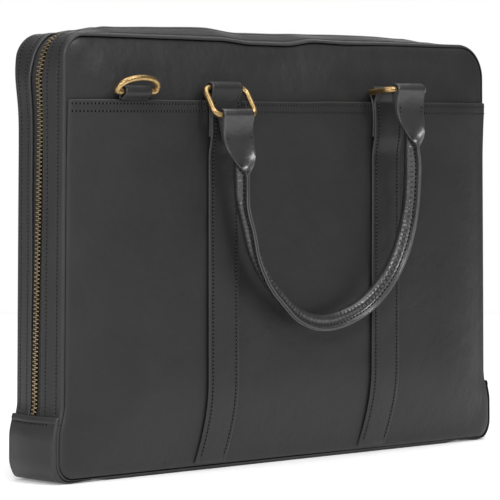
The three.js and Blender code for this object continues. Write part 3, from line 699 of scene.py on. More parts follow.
def pocket():
    xs = spread(-SEAM_HALF_WIDTH + CLEARANCE, SEAM_HALF_WIDTH - CLEARANCE, 4)
    zs = spread(SEAM_BOTTOM + CLEARANCE, SEAM_TOP - CLEARANCE, 5)
    rim = WALL / 2 * RIM_BULGE
    top = POCKET_TOP - rim
    across_groove = (-1.4, -0.7, -0.35, 0, 0.35, 0.7, 1.4)
    lines = [top - (inset - rim) + offset for inset in POCKET_STITCHES for offset in across_groove]
    zs = np.array(sorted([z for z in zs if z < top - 12] + lines + [top, top - 0.4, top - 0.9]))
    x, z = np.meshgrid(xs, zs)
    square_gap = np.minimum(SEAM_HALF_WIDTH - CLEARANCE - np.abs(x), z - SEAM_BOTTOM - CLEARANCE)
    low = z < SEAM_TOP / 2
    round_x, round_z = round_corners(x, z)
    x, z = np.where(low, round_x, x), np.where(low, round_z, z)
    below = POCKET_TOP - z
    press = sum(edge_band(below, inset, GROOVE_WIDTH, GROOVE_DEPTH) for inset in POCKET_STITCHES)
    hem = POCKET_HEM_RISE * smooth((POCKET_HEM - below) / 1.2)
    grid = panel_skin(x, z, CROWN, pocket_lift(z) - press + hem - POCKET_HEM_RISE, 0, square_gap)
    # Turned edge and the pocket's top edge lighter: rubbed wear and a painted highlight
    worn = np.maximum(edge_band(square_gap, *RUBBED_EDGE_AND_HIGHLIGHT), 0.6 * smooth((1.1 - below) / 0.8))
    sewn = [int(np.argmin(np.abs(zs - POCKET_TOP + inset))) for inset in POCKET_STITCHES]
    facing = np.array([0, -1, 0])
    sew("pocket_stitches", [(grid[k, 1:-1], facing) for k in sewn])
    return sheet("pocket_panel", grid, facing, worn)


# Gusset

def arch_at(x, z, nx, nz):
    side = nx * nx
    upright = nz * nz
    rest = SEAM_BOTTOM - WALL - CLEARANCE
    middle = smooth((SEAM_HALF_WIDTH - PATCH_RUN - CLEARANCE - np.abs(x)) / BASE_SLOPE)
    base = rest + middle * (SEAM_BOTTOM - rest)
    ease = 1 - ARCH_EASE["loss"] * smooth((z / SEAM_TOP - ARCH_EASE["from"]) / ARCH_EASE["over"])
    top = TOP_ARCH * top_line(x, "rise")
    return side * SIDE_ARCH * ease + upright * np.where(nz > 0, top, base)


def gusset_skin(arch, depth):
    rolled = EDGE_LIFT + EDGE_ROLL
    inward = np.minimum(depth, GUSSET_DEPTH - depth)
    share = np.clip((inward - EDGE_ROLL) / (SEAM_PLANE - EDGE_ROLL), 0, 1)
    return rolled + (arch - rolled) * np.sin(share * math.pi / 2)


def foot_skin(nz, arch, depth):
    skin = gusset_skin(arch, depth)
    return skin + (arch - skin) * nz * nz


def run_round(stops, step):
    """Stations (x, z, normal x, normal z) along straight lines with rounded corners."""
    run = []

    def straight(start, end):
        tangent = unit(end - start)
        count = max(1, math.ceil(np.linalg.norm(end - start) / step))
        for share in np.linspace(0, 1, count + 1):
            p = start + (end - start) * share
            run.append((p[0], p[1], -tangent[1], tangent[0]))

    start = np.array(stops[0][:2], float)
    for i in range(1, len(stops) - 1):
        corner = np.array(stops[i][:2], float)
        radius = stops[i][2]
        back = unit(start - corner)
        on = unit(np.array(stops[i + 1][:2], float) - corner)
        arc_start = corner + back * radius
        arc_end = corner + on * radius
        centre = arc_start + on * radius
        straight(start, arc_start)
        count = max(8, math.ceil(radius * math.pi / 2 / (step * 0.6)))
        for k in range(1, count):
            angle = k / count * math.pi / 2
            spoke = -on * math.cos(angle) - back * math.sin(angle)
            tangent = -back * math.cos(angle) + on * math.sin(angle)
            p = centre + spoke * radius
            run.append((p[0], p[1], -tangent[1], tangent[0]))
        start = arc_end
    straight(start, np.array(stops[-1][:2], float))
    stations = [run[0]]
    for station in run[1:]:
        if math.hypot(station[0] - stations[-1][0], station[1] - stations[-1][1]) > 1e-3:
            stations.append(station)
    return np.array(stations)


# How far the zip strays from the middle of its gap, towards the back, at heights up the left end
ZIP_STRAY = {"height": (40, 60, 110, 170, 225, 260, 281), "back": (1.9, 1.8, 0.7, -0.9, -2.1, -2.0, -1.4)}


def zip_wander(run):
    fade = 1 - smooth((run[:, 0] / SEAM_HALF_WIDTH + 1) / 0.8)
    return np.interp(run[:, 1], ZIP_STRAY["height"], ZIP_STRAY["back"]) * fade


def place_on_run(run, normal_out, depth):
    """Points at distances outwards and depths behind the front seam plane (stations x n)."""
    x, z, nx, nz = (run[:, i][:, None] for i in range(4))
    seat_x, seat_z = settle(x, z, depth)
    return np.stack([seat_x + nx * normal_out, np.broadcast_to(depth - SEAM_PLANE, normal_out.shape),
                     seat_z + nz * normal_out], -1)


TOP_LEFT = (-SEAM_HALF_WIDTH, SEAM_TOP, CORNER_TOP_LEFT)
TOP_RIGHT = (SEAM_HALF_WIDTH, SEAM_TOP, CORNER_TOP_RIGHT)
BOTTOM_LEFT = (-SEAM_HALF_WIDTH, SEAM_BOTTOM, CORNER_BOTTOM)
BOTTOM_RIGHT = (SEAM_HALF_WIDTH, SEAM_BOTTOM, CORNER_BOTTOM)
ZIP_RUN = run_round([(-SEAM_HALF_WIDTH, ZIP_FOOT), TOP_LEFT, TOP_RIGHT, (SEAM_HALF_WIDTH, ZIP_FOOT)], 2.5)


def band_waves(run, side):
    """Slight hand-made unevenness of a gusset band along its run."""
    along = run_length(run[:, :2])
    phase = 0.0 if side == "front" else 1.7
    return 0.22 * np.sin(along / 31 + phase) + 0.14 * np.sin(along / 13 + 2 * phase)


def rounded_edge(lift, radius=EDGE_ROLL, steps=ROLL_STEPS):
    """Turned edge of a gusset piece from the seam's face to the outside, as (height, depth)."""
    return [(EDGE_LIFT + lift + radius * math.sin(a), EDGE_ROLL - WALL / 2 - radius * math.cos(a))
            for a in np.linspace(0, math.pi / 2, steps + 1)]


def along_stations(values, count):
    """The same row of values at every station."""
    return np.broadcast_to(np.array(values, float)[None, :], (count, len(values)))


def gusset_band(side):
    run = ZIP_RUN
    count = len(run)
    arch = arch_at(*run.T)[:, None]
    roll = rounded_edge(0)
    inner_roll = rounded_edge(0, EDGE_ROLL - WALL, 1)[::-1]
    stitch = [line + offset for line in BAND_STITCHES for offset in (-0.9, -0.4, 0, 0.4, 0.9)]
    depths = np.array(sorted([1.5, 2.2, 6.5, 8.5, 10.5, 12, BAND_DEPTH - 1.6, BAND_DEPTH - 0.7] + stitch))
    waves = band_waves(run, side)[:, None] * np.sin(math.pi * np.clip(depths / GUSSET_DEPTH, 0, 0.5))[None, :]
    press = sum(edge_band(depths, line, 0.6, BAND_GROOVE) for line in BAND_STITCHES)
    ridge = edge_band(depths, 1.5, 0.7, 0.18)
    outer = gusset_skin(arch, depths[None, :]) - press + ridge + waves
    lip_turn = np.linspace(math.pi / 2, -math.pi / 2, 6)[1:-1]
    lip_depth = BAND_DEPTH - WALL / 2 + WALL / 2 * np.cos(lip_turn)
    lip_wave = band_waves(run, side)[:, None] * math.sin(math.pi * BAND_DEPTH / GUSSET_DEPTH)
    lip = gusset_skin(arch, BAND_DEPTH) - WALL / 2 + WALL / 2 * np.sin(lip_turn)[None, :] + lip_wave
    coarse = depths[::3][::-1]
    inner = gusset_skin(arch, coarse[None, :]) - WALL - 0.3
    normal_out = np.concatenate([along_stations([n for n, _ in roll], count), outer, lip, inner,
                                 along_stations([n for n, _ in inner_roll], count)], 1)
    depth = np.concatenate([[d for _, d in roll], depths, lip_depth, coarse, [d for _, d in inner_roll]])
    if side == "back":
        depth = GUSSET_DEPTH - depth
    rings = place_on_run(run, normal_out, depth)
    # Rolled edge and lip lighter: rubbed wear and a painted highlight
    section_wear_and_painted_light = np.zeros(len(depth))
    section_wear_and_painted_light[ROLL_STEPS - 1:ROLL_STEPS + 3] = 0.2
    first_lip = len(roll) + len(depths)
    section_wear_and_painted_light[first_lip - 1:first_lip + len(lip_turn)] = 0.5
    return loft(f"gusset_{side}_band", rings, GUSSET_LEATHER, "leather",
                replaces=(f"gusset_{side}_band",), worn=np.tile(section_wear_and_painted_light, count))


def closed_gusset(run, lift, fold):
    """Rings of a gusset piece that reaches from panel to panel, how much lighter they are from wear and painted
    highlight, and how many points of each lie outside; fold raises the outside at each station."""
    edge = rounded_edge(lift)
    count = len(run)
    half = [1.2, 2.2, 3.4, 7.5, 10.5, 14, 18]
    depths = np.array(half + [GUSSET_DEPTH / 2] + [GUSSET_DEPTH - d for d in reversed(half)])
    coarse = depths[1:-1:3]
    arch = arch_at(*run.T)[:, None]
    nz = run[:, 3][:, None]
    outer = foot_skin(nz, arch, depths[None, :]) + lift
    inner = (foot_skin(nz, arch, coarse[None, :]) + lift - WALL)[:, ::-1]
    near = np.array([d for _, d in edge])
    rise = [n for n, _ in edge]
    low = [EDGE_LIFT + lift, EDGE_LIFT + lift + EDGE_ROLL - WALL]
    low_depth = np.array([EDGE_ROLL - WALL / 2 - 0.1, EDGE_ROLL - WALL / 2])
    front_rise, back_rise = along_stations(rise, count), along_stations(rise[::-1], count)
    back_low, front_low = along_stations(low, count), along_stations(low[::-1], count)
    normal_out = np.concatenate([front_rise, outer, back_rise, back_low, inner, front_low], 1)
    depth = np.concatenate([near, depths, GUSSET_DEPTH - near[::-1], GUSSET_DEPTH - low_depth, coarse[::-1],
                            low_depth[::-1]])
    outside = len(rise) * 2 + len(depths)
    normal_out[:, :outside] += fold[:, None]
    rings = place_on_run(run, normal_out, depth)
    # Rolled edges lighter: rubbed wear and a painted highlight
    worn = np.zeros((count, len(depth)))
    worn[:, len(rise) - 2:len(rise) + 1] = 0.25
    worn[:, outside - len(rise) - 1:outside - len(rise) + 2] = 0.25
    return rings, worn, outside


def base_gusset():
    head = ZIP_FOOT - CLEARANCE
    run = run_round([(SEAM_HALF_WIDTH, head), BOTTOM_RIGHT, BOTTOM_LEFT, (-SEAM_HALF_WIDTH, head)], 5)
    rings, worn, _ = closed_gusset(run, 0, np.zeros(len(run)))
    return loft("base_gusset", rings, GUSSET_LEATHER, "leather", replaces=("base_gusset",),
                worn=worn.reshape(-1))


def corner_patch(side):
    """A second layer round a bottom corner, with a turned hem along its top."""
    sign = -1 if side == "left" else 1
    run = run_round([(-(SEAM_HALF_WIDTH - PATCH_RUN), SEAM_BOTTOM), BOTTOM_LEFT,
                     (-SEAM_HALF_WIDTH, PATCH_HEIGHT)], PATCH_STEP)
    heights = run[:, 1]
    hem_levels = PATCH_HEIGHT - np.array([PATCH_HEM + 0.5, PATCH_HEM, 2.9, 2.2, 1.5, 0.8, 0.3])
    hem_stations = [(-SEAM_HALF_WIDTH, z, -1, 0) for z in hem_levels]
    in_hem = (heights > PATCH_HEIGHT - PATCH_HEM - 1.5) & (heights < PATCH_HEIGHT - 0.01)
    keep = ~((np.abs(run[:, 2]) > 0.999) & in_hem)
    run = np.concatenate([run[keep][:-1], np.array(hem_stations), run[-1:]])
    below = PATCH_HEIGHT - run[:, 1]
    on_side = np.abs(run[:, 2]) > 0.9
    rounded = 1 - 0.6 * smooth((0.8 - below) / 0.8)
    hem = np.where(on_side, PATCH_HEM_RISE * smooth((PATCH_HEM - below) / 0.7) * rounded, 0)
    run[:, 0] *= -sign
    run[:, 2] *= -sign
    under = np.abs(run[:, 0]) - (SEAM_HALF_WIDTH - PATCH_RUN)
    hem = hem - np.where(on_side, 0, 0.75 * WALL * (1 - smooth(under / PATCH_FADE)))
    rings, worn, outside = closed_gusset(run, WALL + CLEARANCE, hem)
    # Top of the hem lighter: rubbed wear and a painted highlight
    top = np.where(on_side, np.clip(1 - below / 1.4, 0, 1), 0)
    worn[:, :outside] = np.maximum(worn[:, :outside], 0.6 * top[:, None])
    return loft(f"corner_patch_{side}", rings, GUSSET_LEATHER, "leather",
                replaces=(f"corner_patch_{side}",), worn=worn.reshape(-1))


def zip_tape(side):
    arch = arch_at(*ZIP_RUN.T)[:, None]
    near = EDGE_ROLL / 2 + (BAND_DEPTH - EDGE_ROLL / 2) * 0.7
    far = SEAM_PLANE - TEETH_WIDTH / 2 + 0.9
    depths = np.linspace(near, far, 5)
    under = WALL + 0.32
    top = gusset_skin(arch, depths[None, :]) - under
    bottom = top[:, ::-1] - TAPE_WALL * 0.7
    depth = np.concatenate([depths, depths[::-1]])
    if side == "back":
        depth = GUSSET_DEPTH - depth
    inner = np.clip((np.minimum(depth, GUSSET_DEPTH - depth) - near) / (far - near), 0, 1)
    depth = depth[None, :] + zip_wander(ZIP_RUN)[:, None] * inner[None, :]
    rings = place_on_run(ZIP_RUN, np.concatenate([top, bottom], 1), depth)
    return loft(f"zip_tape_{side}", rings, TAPE, "zip_tape", replaces=(f"zip_tape_{side}",))


def along_run(run, step, margin):
    """Stations at even steps along a run."""
    length = run_length(run[:, :2])
    count = int((length[-1] - 2 * margin) / step)
    at = margin + np.arange(count + 1) * step
    made = points_at(at, length, run)
    made[:, 2:] = unit(made[:, 2:])
    return made


# A zip tooth seen from above: share of its length in from the tape, half width
TOOTH = ((0, 0.44), (0.42, 0.46), (0.6, 0.34), (0.78, 0.46), (1, 0.3))


def zip_chain():
    """Two rows of brass teeth that mesh along the middle of the gap."""
    length = TEETH_WIDTH * 0.62
    # Height over the tooth's face, growth of its outline and painted shade on its sides and underside
    levels = ((0.0, 1.0, 0), (-0.35, 1.12, 0.8), (-CHAIN_THICKNESS + 0.5, 1.0, 0.8))
    points, faces, worn = [], [], []
    for row in (-1, 1):
        run = along_run(ZIP_RUN, TOOTH_PITCH, 1.5 if row < 0 else 1.5 + TOOTH_PITCH / 2)
        arch = arch_at(*run.T)
        stray = zip_wander(run)
        for k, (x, z, nx, nz) in enumerate(run):
            mid = gusset_skin(arch[k], SEAM_PLANE) - TEETH_RECESS
            tx, tz = nz, -nx
            start = len(points)
            for level, grow, shade in levels:
                for sign in (1, -1):
                    outline = TOOTH if sign > 0 else TOOTH[::-1]
                    for share, half in outline:
                        depth = SEAM_PLANE + stray[k] + row * (TEETH_WIDTH / 2 - share * length)
                        seat_x, seat_z = settle(x, z, depth)
                        side = sign * half * grow
                        out = mid + level + (0.12 if 0.2 < share < 0.7 and level == 0 else 0)
                        points.append((float(seat_x) + nx * out + tx * side, depth - SEAM_PLANE,
                                       float(seat_z) + nz * out + tz * side))
                        worn.append(shade)
            count = 2 * len(TOOTH)
            block = np.array(points[start:])
            faces += [[start + i for i in face] for face in outward(block, ring_faces(len(levels), count))]
    return dress("zip_teeth", points, faces, ZIP_BRASS, "brass", replaces=("zip_chain",), worn=worn, sharp=35)


# Sewing

def capsule(centre, along, up, length, radius):
    """A short raised stitch with rounded ends."""
    side = np.cross(along, up)
    rings = []
    for share, size in CAPSULE:
        middle = centre + along * (share * length / 2) + up * (radius * (0.25 - 0.75 * abs(share) ** 3))
        for k in range(STITCH_SIDES):
            angle = (k + 0.5) / STITCH_SIDES * 2 * math.pi
            rings.append(middle + (side * math.cos(angle) + up * math.sin(angle)) * radius * size)
    return np.array(rings)


PIT_SIDES = 6
PIT_FACES = [[k, (k + 1) % PIT_SIDES, PIT_SIDES] for k in range(PIT_SIDES)] + [list(range(PIT_SIDES))[::-1]]


def hole_shade_cap(centre, along, up, radius):
    """A very low cap between two stitches, painted near-black as the shadow in the needle's hole."""
    side = np.cross(along, up)
    angle = np.arange(PIT_SIDES) / PIT_SIDES * 2 * math.pi
    rim = centre + radius * (along * np.cos(angle)[:, None] - side * np.sin(angle)[:, None]) + up * 0.12
    return np.concatenate([rim, [centre + up * 0.34]])


def sew(name, rows, pitch=STITCH_PITCH, length=STITCH_LENGTH, radius=THREAD_RADIUS):
    """Stitches along rows of (points, outward normals), joined into one piece, and low caps painted with the
    shadow of their needle holes.
    """
    points, faces, painted_hole_shades, pit_faces = [], [], [], []
    pattern = None
    total = 0
    for line, normals in rows:
        line = np.asarray(line, float)
        normals = np.asarray(normals, float)
        if normals.ndim == 1:
            normals = np.tile(normals, (len(line), 1))
        run = run_length(line)
        count = int((run[-1] - length) // pitch)
        if count < 1:
            continue
        start = (run[-1] - count * pitch) / 2
        for k in range(count + 1):
            at = start + k * pitch
            ends = [points_at(at + s * length / 2, run, line) for s in (-1, 1)]
            up = unit(points_at(at, run, normals))
            along = unit(ends[1] - ends[0])
            up = unit(up - along * np.dot(up, along))
            slant = unit(along + np.cross(up, along) * 0.06 * rng.normal())
            stitch = capsule((ends[0] + ends[1]) / 2, slant, up, length, radius)
            if pattern is None:
                pattern = outward(stitch, ring_faces(len(CAPSULE), STITCH_SIDES))
            points.append(stitch)
            faces += [[total + i for i in face] for face in pattern]
            total += len(stitch)
            pit_faces += [[len(painted_hole_shades) * (PIT_SIDES + 1) + i for i in face] for face in PIT_FACES]
            painted_hole_shades.append(hole_shade_cap((ends[0] + ends[1]) / 2 + along * pitch / 2, along, up, radius * 1.75))
    dress(f"{name}_pits", np.concatenate(painted_hole_shades), pit_faces, PAINTED_NEEDLE_HOLE_SHADE, "leather")
    return dress(name, np.concatenate(points), faces, THREAD, "leather")


def band_rows():
    """Two rows along each band of the gusset."""
    rows = []
    for side in ("front", "back"):
        waves = band_waves(ZIP_RUN, side)
        for inset in BAND_STITCHES:
            skin = gusset_skin(arch_at(*ZIP_RUN.T), inset) + waves * math.sin(math.pi * inset / GUSSET_DEPTH)
            depth = np.array([inset if side == "front" else GUSSET_DEPTH - inset])
            line = place_on_run(ZIP_RUN, skin[:, None] - BAND_GROOVE, depth)[:, 0]
            normal = np.stack([ZIP_RUN[:, 2], np.zeros(len(ZIP_RUN)), ZIP_RUN[:, 3]], -1)
            rows.append((line[2:-2], normal[2:-2]))
    return rows


def patch_rows():
    """A row under each patch's hem."""
    rows = []
    for sign in (-1, 1):
        height = PATCH_HEIGHT - PATCH_HEM - 1.1
        depths = np.linspace(4.2, GUSSET_DEPTH - 4.2, 20)
        station = np.array([[sign * SEAM_HALF_WIDTH, height, sign, 0.0]])
        skin = foot_skin(0.0, arch_at(*station.T)[:, None], depths[None, :]) + WALL + CLEARANCE
        rows.append((place_on_run(station, skin, depths)[0], np.array([sign, 0, 0])))
    return rows


# Straps, keepers and their stitches

def soften(path, step, window):
    """Evenly spaced points along a path, with its corners rounded off over a window."""
    path = np.asarray(path, float)
    run = run_length(path)
    fine = 0.25
    dense = points_at(np.arange(0, run[-1] + fine / 2, fine), run, path)
    half = max(1, round(window / fine / 2))
    padded = np.concatenate([2 * dense[:1] - dense[half:0:-1], dense,
                             2 * dense[-1:] - dense[-2:-half - 2:-1]])
    kernel = np.hanning(2 * half + 3)[1:-1]
    kernel /= kernel.sum()
    dense = np.stack([np.convolve(padded[:, i], kernel, "valid") for i in range(path.shape[1])], 1)
    run = run_length(dense)
    count = max(2, round(run[-1] / step))
    return points_at(np.linspace(0, run[-1], count + 1), run, dense)


def strip_section(width, stitch_inset):
    """Half section of a strap: across and height above its middle, and how much lighter it is there from wear and
    painted highlight.
    """
    half = width / 2
    line = half - stitch_inset
    top = [(0, 0), (line * 0.5, 0), (line - 1.5, 0), (line - 0.8, 0), (line - 0.35, 0), (line, 0),
           (line + 0.35, 0), (line + 0.8, 0), (half - 1.3, 0), (half - 0.7, 0.06), (half - 0.3, 0.35), (half, 0.9)]
    section = []
    for across, drop in top:
        press = GROOVE_DEPTH * math.exp(-((across - line) / 0.55) ** 2)
        swell = STRAP_CROWN * (1 - (across / half) ** 2)
        worn = 0.0 if drop == 0 else 0.25 + 0.5 * min(1, drop)
        section.append((across, WALL / 2 + swell - press - drop * WALL / 2, worn))
    return section


def strip(name, path, centre, width, stitch_inset, replaces, side):
    """A strap that follows a path of (distance in front of the seam plane, height)."""
    tangent = unit(np.gradient(path, axis=0))
    normal = np.stack([tangent[:, 1], -tangent[:, 0]], 1)
    half = strip_section(width, stitch_inset)
    upper = [(-a, h, w) for a, h, w in half[::-1]] + half[1:]
    lower = [(width / 2 - 0.3, -WALL / 2 * 0.6, 0.3), (width / 2 - 0.9, -WALL / 2, 0.3), (0, -WALL / 2, 0)]
    lower = lower + [(-a, h, w) for a, h, w in lower[-2::-1]]
    section = np.array(upper + lower)
    rings = sweep(path, normal, section, centre) * TURN[side]
    # Rounded edges and cut ends lighter: wear and a painted highlight
    worn = np.tile(section[:, 2], (len(path), 1))
    worn[:2] = np.maximum(worn[:2], 0.4)
    worn[-2:] = np.maximum(worn[-2:], 0.4)
    return loft(name, rings, STRAP_LEATHER, "leather", replaces=(replaces,), worn=worn.reshape(-1))


def over_tail(z):
    """How far a strap's front layer has risen on to its tail."""
    return smooth((z - POCKET_TOP + STRAP_TAIL + STRAP_RAMP - 2) / STRAP_RAMP)


def round_bar(bar, start, end, count):
    """The middle of leather that is folded over a bar, between two angles."""
    return [(bar[0] + LOOP_MIDDLE * math.cos(angle), bar[1] + LOOP_MIDDLE * math.sin(angle))
            for angle in np.radians(np.linspace(start, end, count))]


def strap_path(side, rise):
    def bed(z):
        return float(strap_bed(z, side)) + CLEARANCE

    points = [(bed(z) + WALL * (0.5 + float(over_tail(z))), z)
              for z in np.linspace(STRAP_FOOT + 0.4, POCKET_TOP, 90)]
    points += round_bar(ring_bar(rise), -25, 205, 24)
    points += [(bed(z) + WALL / 2, z) for z in np.linspace(POCKET_TOP, POCKET_TOP - STRAP_TAIL + 0.3, 8)]
    return soften(points, 1.1, 2.2)


def strap_stitches(side, centre):
    """Rows of stitches down both edges of a strap."""
    rows = []
    heights = np.arange(STRAP_FOOT + 3, POCKET_TOP + 2, 2.0)
    layers = WALL * (1 + over_tail(heights))
    out = strap_bed(heights, side) + CLEARANCE + layers + STRAP_CROWN - GROOVE_DEPTH
    slope = np.gradient(out, heights)
    normal = unit(np.stack([np.zeros_like(out), -np.ones_like(out), -slope], -1))
    for edge in (-1, 1):
        x = np.full_like(out, centre + edge * (STRAP_WIDTH / 2 - STRAP_STITCH_INSET))
        line = np.stack([x, -(SEAM_PLANE + out), heights], -1)
        rows.append((line * TURN[side], normal * TURN[side]))
    return rows


def d_ring_bar(side):
    z = POCKET_TOP + KEEPER_RISE
    swell = CROWN if side == "front" else BACK_CROWN
    share = (z - SEAM_TOP + CROWN_RUN) / CROWN_RUN
    return swell * (1 - share * share) - PANEL_TUCK + KEEPER_SEAT + LOOP_INNER + WALL, z


def keeper_path(side):
    swell = CROWN if side == "front" else BACK_CROWN

    def bed(z):
        return float(panel_swell(KEEPER_WIDTH / 2 - D_RING_CENTRE, z, swell)) + CLEARANCE

    feet = [POCKET_TOP + 0.35]
    if side == "back":
        feet = list(np.linspace(POCKET_TOP - KEEPER_TAIL, POCKET_TOP, 7))
    points = [(bed(z) + 1.5 * WALL, z) for z in feet]
    points += round_bar(d_ring_bar(side), -30, 200, 24)
    points += [(bed(z) + WALL / 2, z) for z in reversed(feet)]
    return soften(points, 0.9, 1.6)


# Wire

def wire(name, line, normal, replaces, body="bag"):
    """Round wire along a closed flat line."""
    before, after = np.roll(line, 1, axis=0), np.roll(line, -1, axis=0)
    tangent = unit(after - before)
    out = np.cross(tangent, normal)
    angle = np.arange(WIRE_SIDES) / WIRE_SIDES * 2 * math.pi
    rings = line[:, None, :] + WIRE_RADIUS * (out[:, None, :] * np.cos(angle)[None, :, None]
                                              + normal[None, None, :] * np.sin(angle)[None, :, None])
    # Painted shade: the wire darkened on one side of its round
    shadow = 0.3 * np.clip(-np.cos(angle), 0, 1) ** 2
    return loft(name, rings, BRASS, "brass", looped=True, replaces=(replaces,), body=body,
                worn=np.tile(shadow, len(line)))


def ring_outline():
    half = RING_WIDTH / 2 - WIRE_RADIUS
    length = RING_LENGTH - 2 * WIRE_RADIUS
    low, high = RING_CORNER, length - RING_CORNER
    inner = half - RING_CORNER
    points = []
    for along, reach, start in ((inner, high, 0), (-inner, high, 90), (-inner, low, 180), (inner, low, 270)):
        for turn in np.radians(start + np.linspace(0, 90, 10)):
            points.append((along + RING_CORNER * math.cos(turn), reach + RING_CORNER * math.sin(turn)))
    return np.array(points)


def d_ring_outline():
    half = D_RING_WIDTH / 2 - WIRE_RADIUS
    height = D_RING_HEIGHT - 2 * WIRE_RADIUS
    base = WIRE_RADIUS * 0.4
    points = []
    for turn in np.linspace(0, math.pi, 40):
        fullness = max(math.sin(turn), 0) ** 0.8
        points.append((half * math.cos(turn), base + (height - base) * fullness))
    inset = half - WIRE_RADIUS * 0.8
    return np.array(points + [(-inset, 0), (-inset * 0.5, 0), (0, 0), (inset * 0.5, 0), (inset, 0)])


def hung(outline, centre, bar, droop):
    """A flat outline of (across, reach) hung from a bar, and its normal."""
    angle = math.radians(droop)
    reach_out = np.array([0, -math.cos(angle), -math.sin(angle)])
    normal = np.array([0, -math.sin(angle), math.cos(angle)])
    start = np.array([centre, -(SEAM_PLANE + bar[0]), bar[1]])
    return start + outline[:, :1] * np.array([1, 0, 0]) + outline[:, 1:] * reach_out, normal


# Handles

def ring_end(centre, rise, droop):
    """Middle of the ring's far bar, which the handle is folded over."""
    far_bar = np.array([[0, RING_LENGTH - 2 * WIRE_RADIUS]])
    return hung(far_bar, centre, ring_bar(rise), droop)[0][0]


def knotted_curve(knots, per_span=60):
    """Centripetal curve through knots, with its ends carried on straight."""
    first = 2 * knots[0] - knots[1]
    last = 2 * knots[-1] - knots[-2]
    p = np.concatenate([[first], knots, [last]])
    curve = []
    for i in range(1, len(p) - 2):
        t = [0.0]
        for a, b in zip(p[i - 1:i + 2], p[i:i + 3]):
            t.append(t[-1] + max(np.linalg.norm(b - a), 1e-6) ** 0.5)
        for s in np.linspace(t[1], t[2], per_span, endpoint=False):
            a1 = (t[1] - s) / (t[1] - t[0]) * p[i - 1] + (s - t[0]) / (t[1] - t[0]) * p[i]
            a2 = (t[2] - s) / (t[2] - t[1]) * p[i] + (s - t[1]) / (t[2] - t[1]) * p[i + 1]
            a3 = (t[3] - s) / (t[3] - t[2]) * p[i + 1] + (s - t[2]) / (t[3] - t[2]) * p[i + 2]
            b1 = (t[2] - s) / (t[2] - t[0]) * a1 + (s - t[0]) / (t[2] - t[0]) * a2
            b2 = (t[3] - s) / (t[3] - t[1]) * a2 + (s - t[1]) / (t[3] - t[1]) * a3
            curve.append((t[2] - s) / (t[2] - t[1]) * b1 + (s - t[1]) / (t[2] - t[1]) * b2)
    curve.append(knots[-1])
    return np.array(curve)


def grip_rows():
    """Half section of the handle from the slit between its plies round to the back. Each row is
    a place on the flat leaf, the same place on the rolled grip, and how much lighter it is there from wear and
    painted highlight."""
    thick = TAB_THICKNESS / 2
    wide = TAB_WIDTH / 2
    tip = GRIP_RADIUS + FLANGE_LENGTH
    lap = FLANGE_THICKNESS / 2
    rows = []
    for share in (0, 0.3, 0.6, 0.85):
        rows.append(((wide * share, thick), (0.05, GRIP_RADIUS + (FLANGE_LENGTH - 0.5) * share), 0.0))
    rows.append(((wide - 0.5, thick - 0.05), (0.1, tip - 0.35), 0.4))
    rows.append(((wide - 0.1, thick - 0.5), (0.35, tip), 0.8))
    rows.append(((wide, 0), (lap * 0.75, tip), 0.8))
    rows.append(((wide - 0.1, -thick + 0.5), (lap, tip - 0.35), 0.8))
    rows.append(((wide - 0.6, -thick), (lap, tip - 1.0), 0.3))
    for share in (0.35, 0.65, 1):
        reach = tip - 1.0 - (FLANGE_LENGTH - 1.5) * share
        rows.append(((wide - 0.6 - 3.4 * share, -thick), (lap, reach), 0.0))
    start = math.asin(min(1, (lap + 0.15) / GRIP_RADIUS))
    for share in np.linspace(0.04, 1, 11):
        turn = start + (math.pi - start) * share
        rows.append(((max(wide - 4.2, 0) * (1 - share), -thick),
                     (GRIP_RADIUS * math.sin(turn), GRIP_RADIUS * math.cos(turn)), 0.0))
    return rows


def leaf_curl(share):
    """How far the edges of the leaf have curled forward."""
    return smooth(share) ** 2


def leaf_close(share):
    """How far the edges of the leaf have come together."""
    return share ** 3.6


def grip_section(share, rows, swollen):
    """Section of the handle; swollen thickens the flat leaf where it turns round the ring."""
    curl, close = leaf_curl(share), leaf_close(share)
    half = []
    for leaf, grip, worn in rows:
        flat = leaf[1] * swollen
        across = leaf[0] + (grip[0] - leaf[0]) * close
        ahead = flat + (grip[1] - flat) * (curl if grip[1] > GRIP_RADIUS + 1 else share)
        half.append((across, ahead, worn))
    back = half[::-1][1:]
    return np.array(half + [(-a, h, w) for a, h, w in back[:-1]])


def handle_route():
    ends = [ring_end(*row[1:]) for row in STRAPS]
    level = POCKET_TOP + HANG_LEVEL
    hang = np.array([(a * HANDLE_REACH, -(SEAM_PLANE + s * HANDLE_STAND), level + (h - 1) * HANDLE_DROP)
                     for a, h, s in HANDLE_HANG])
    starts = [ends[0] + unit(hang[0] - ends[0]) * LEAF_HEAD, ends[1] + unit(hang[-1] - ends[1]) * LEAF_HEAD]
    route = knotted_curve(np.concatenate([[starts[0]], hang, [starts[1]]]))
    return route, ends


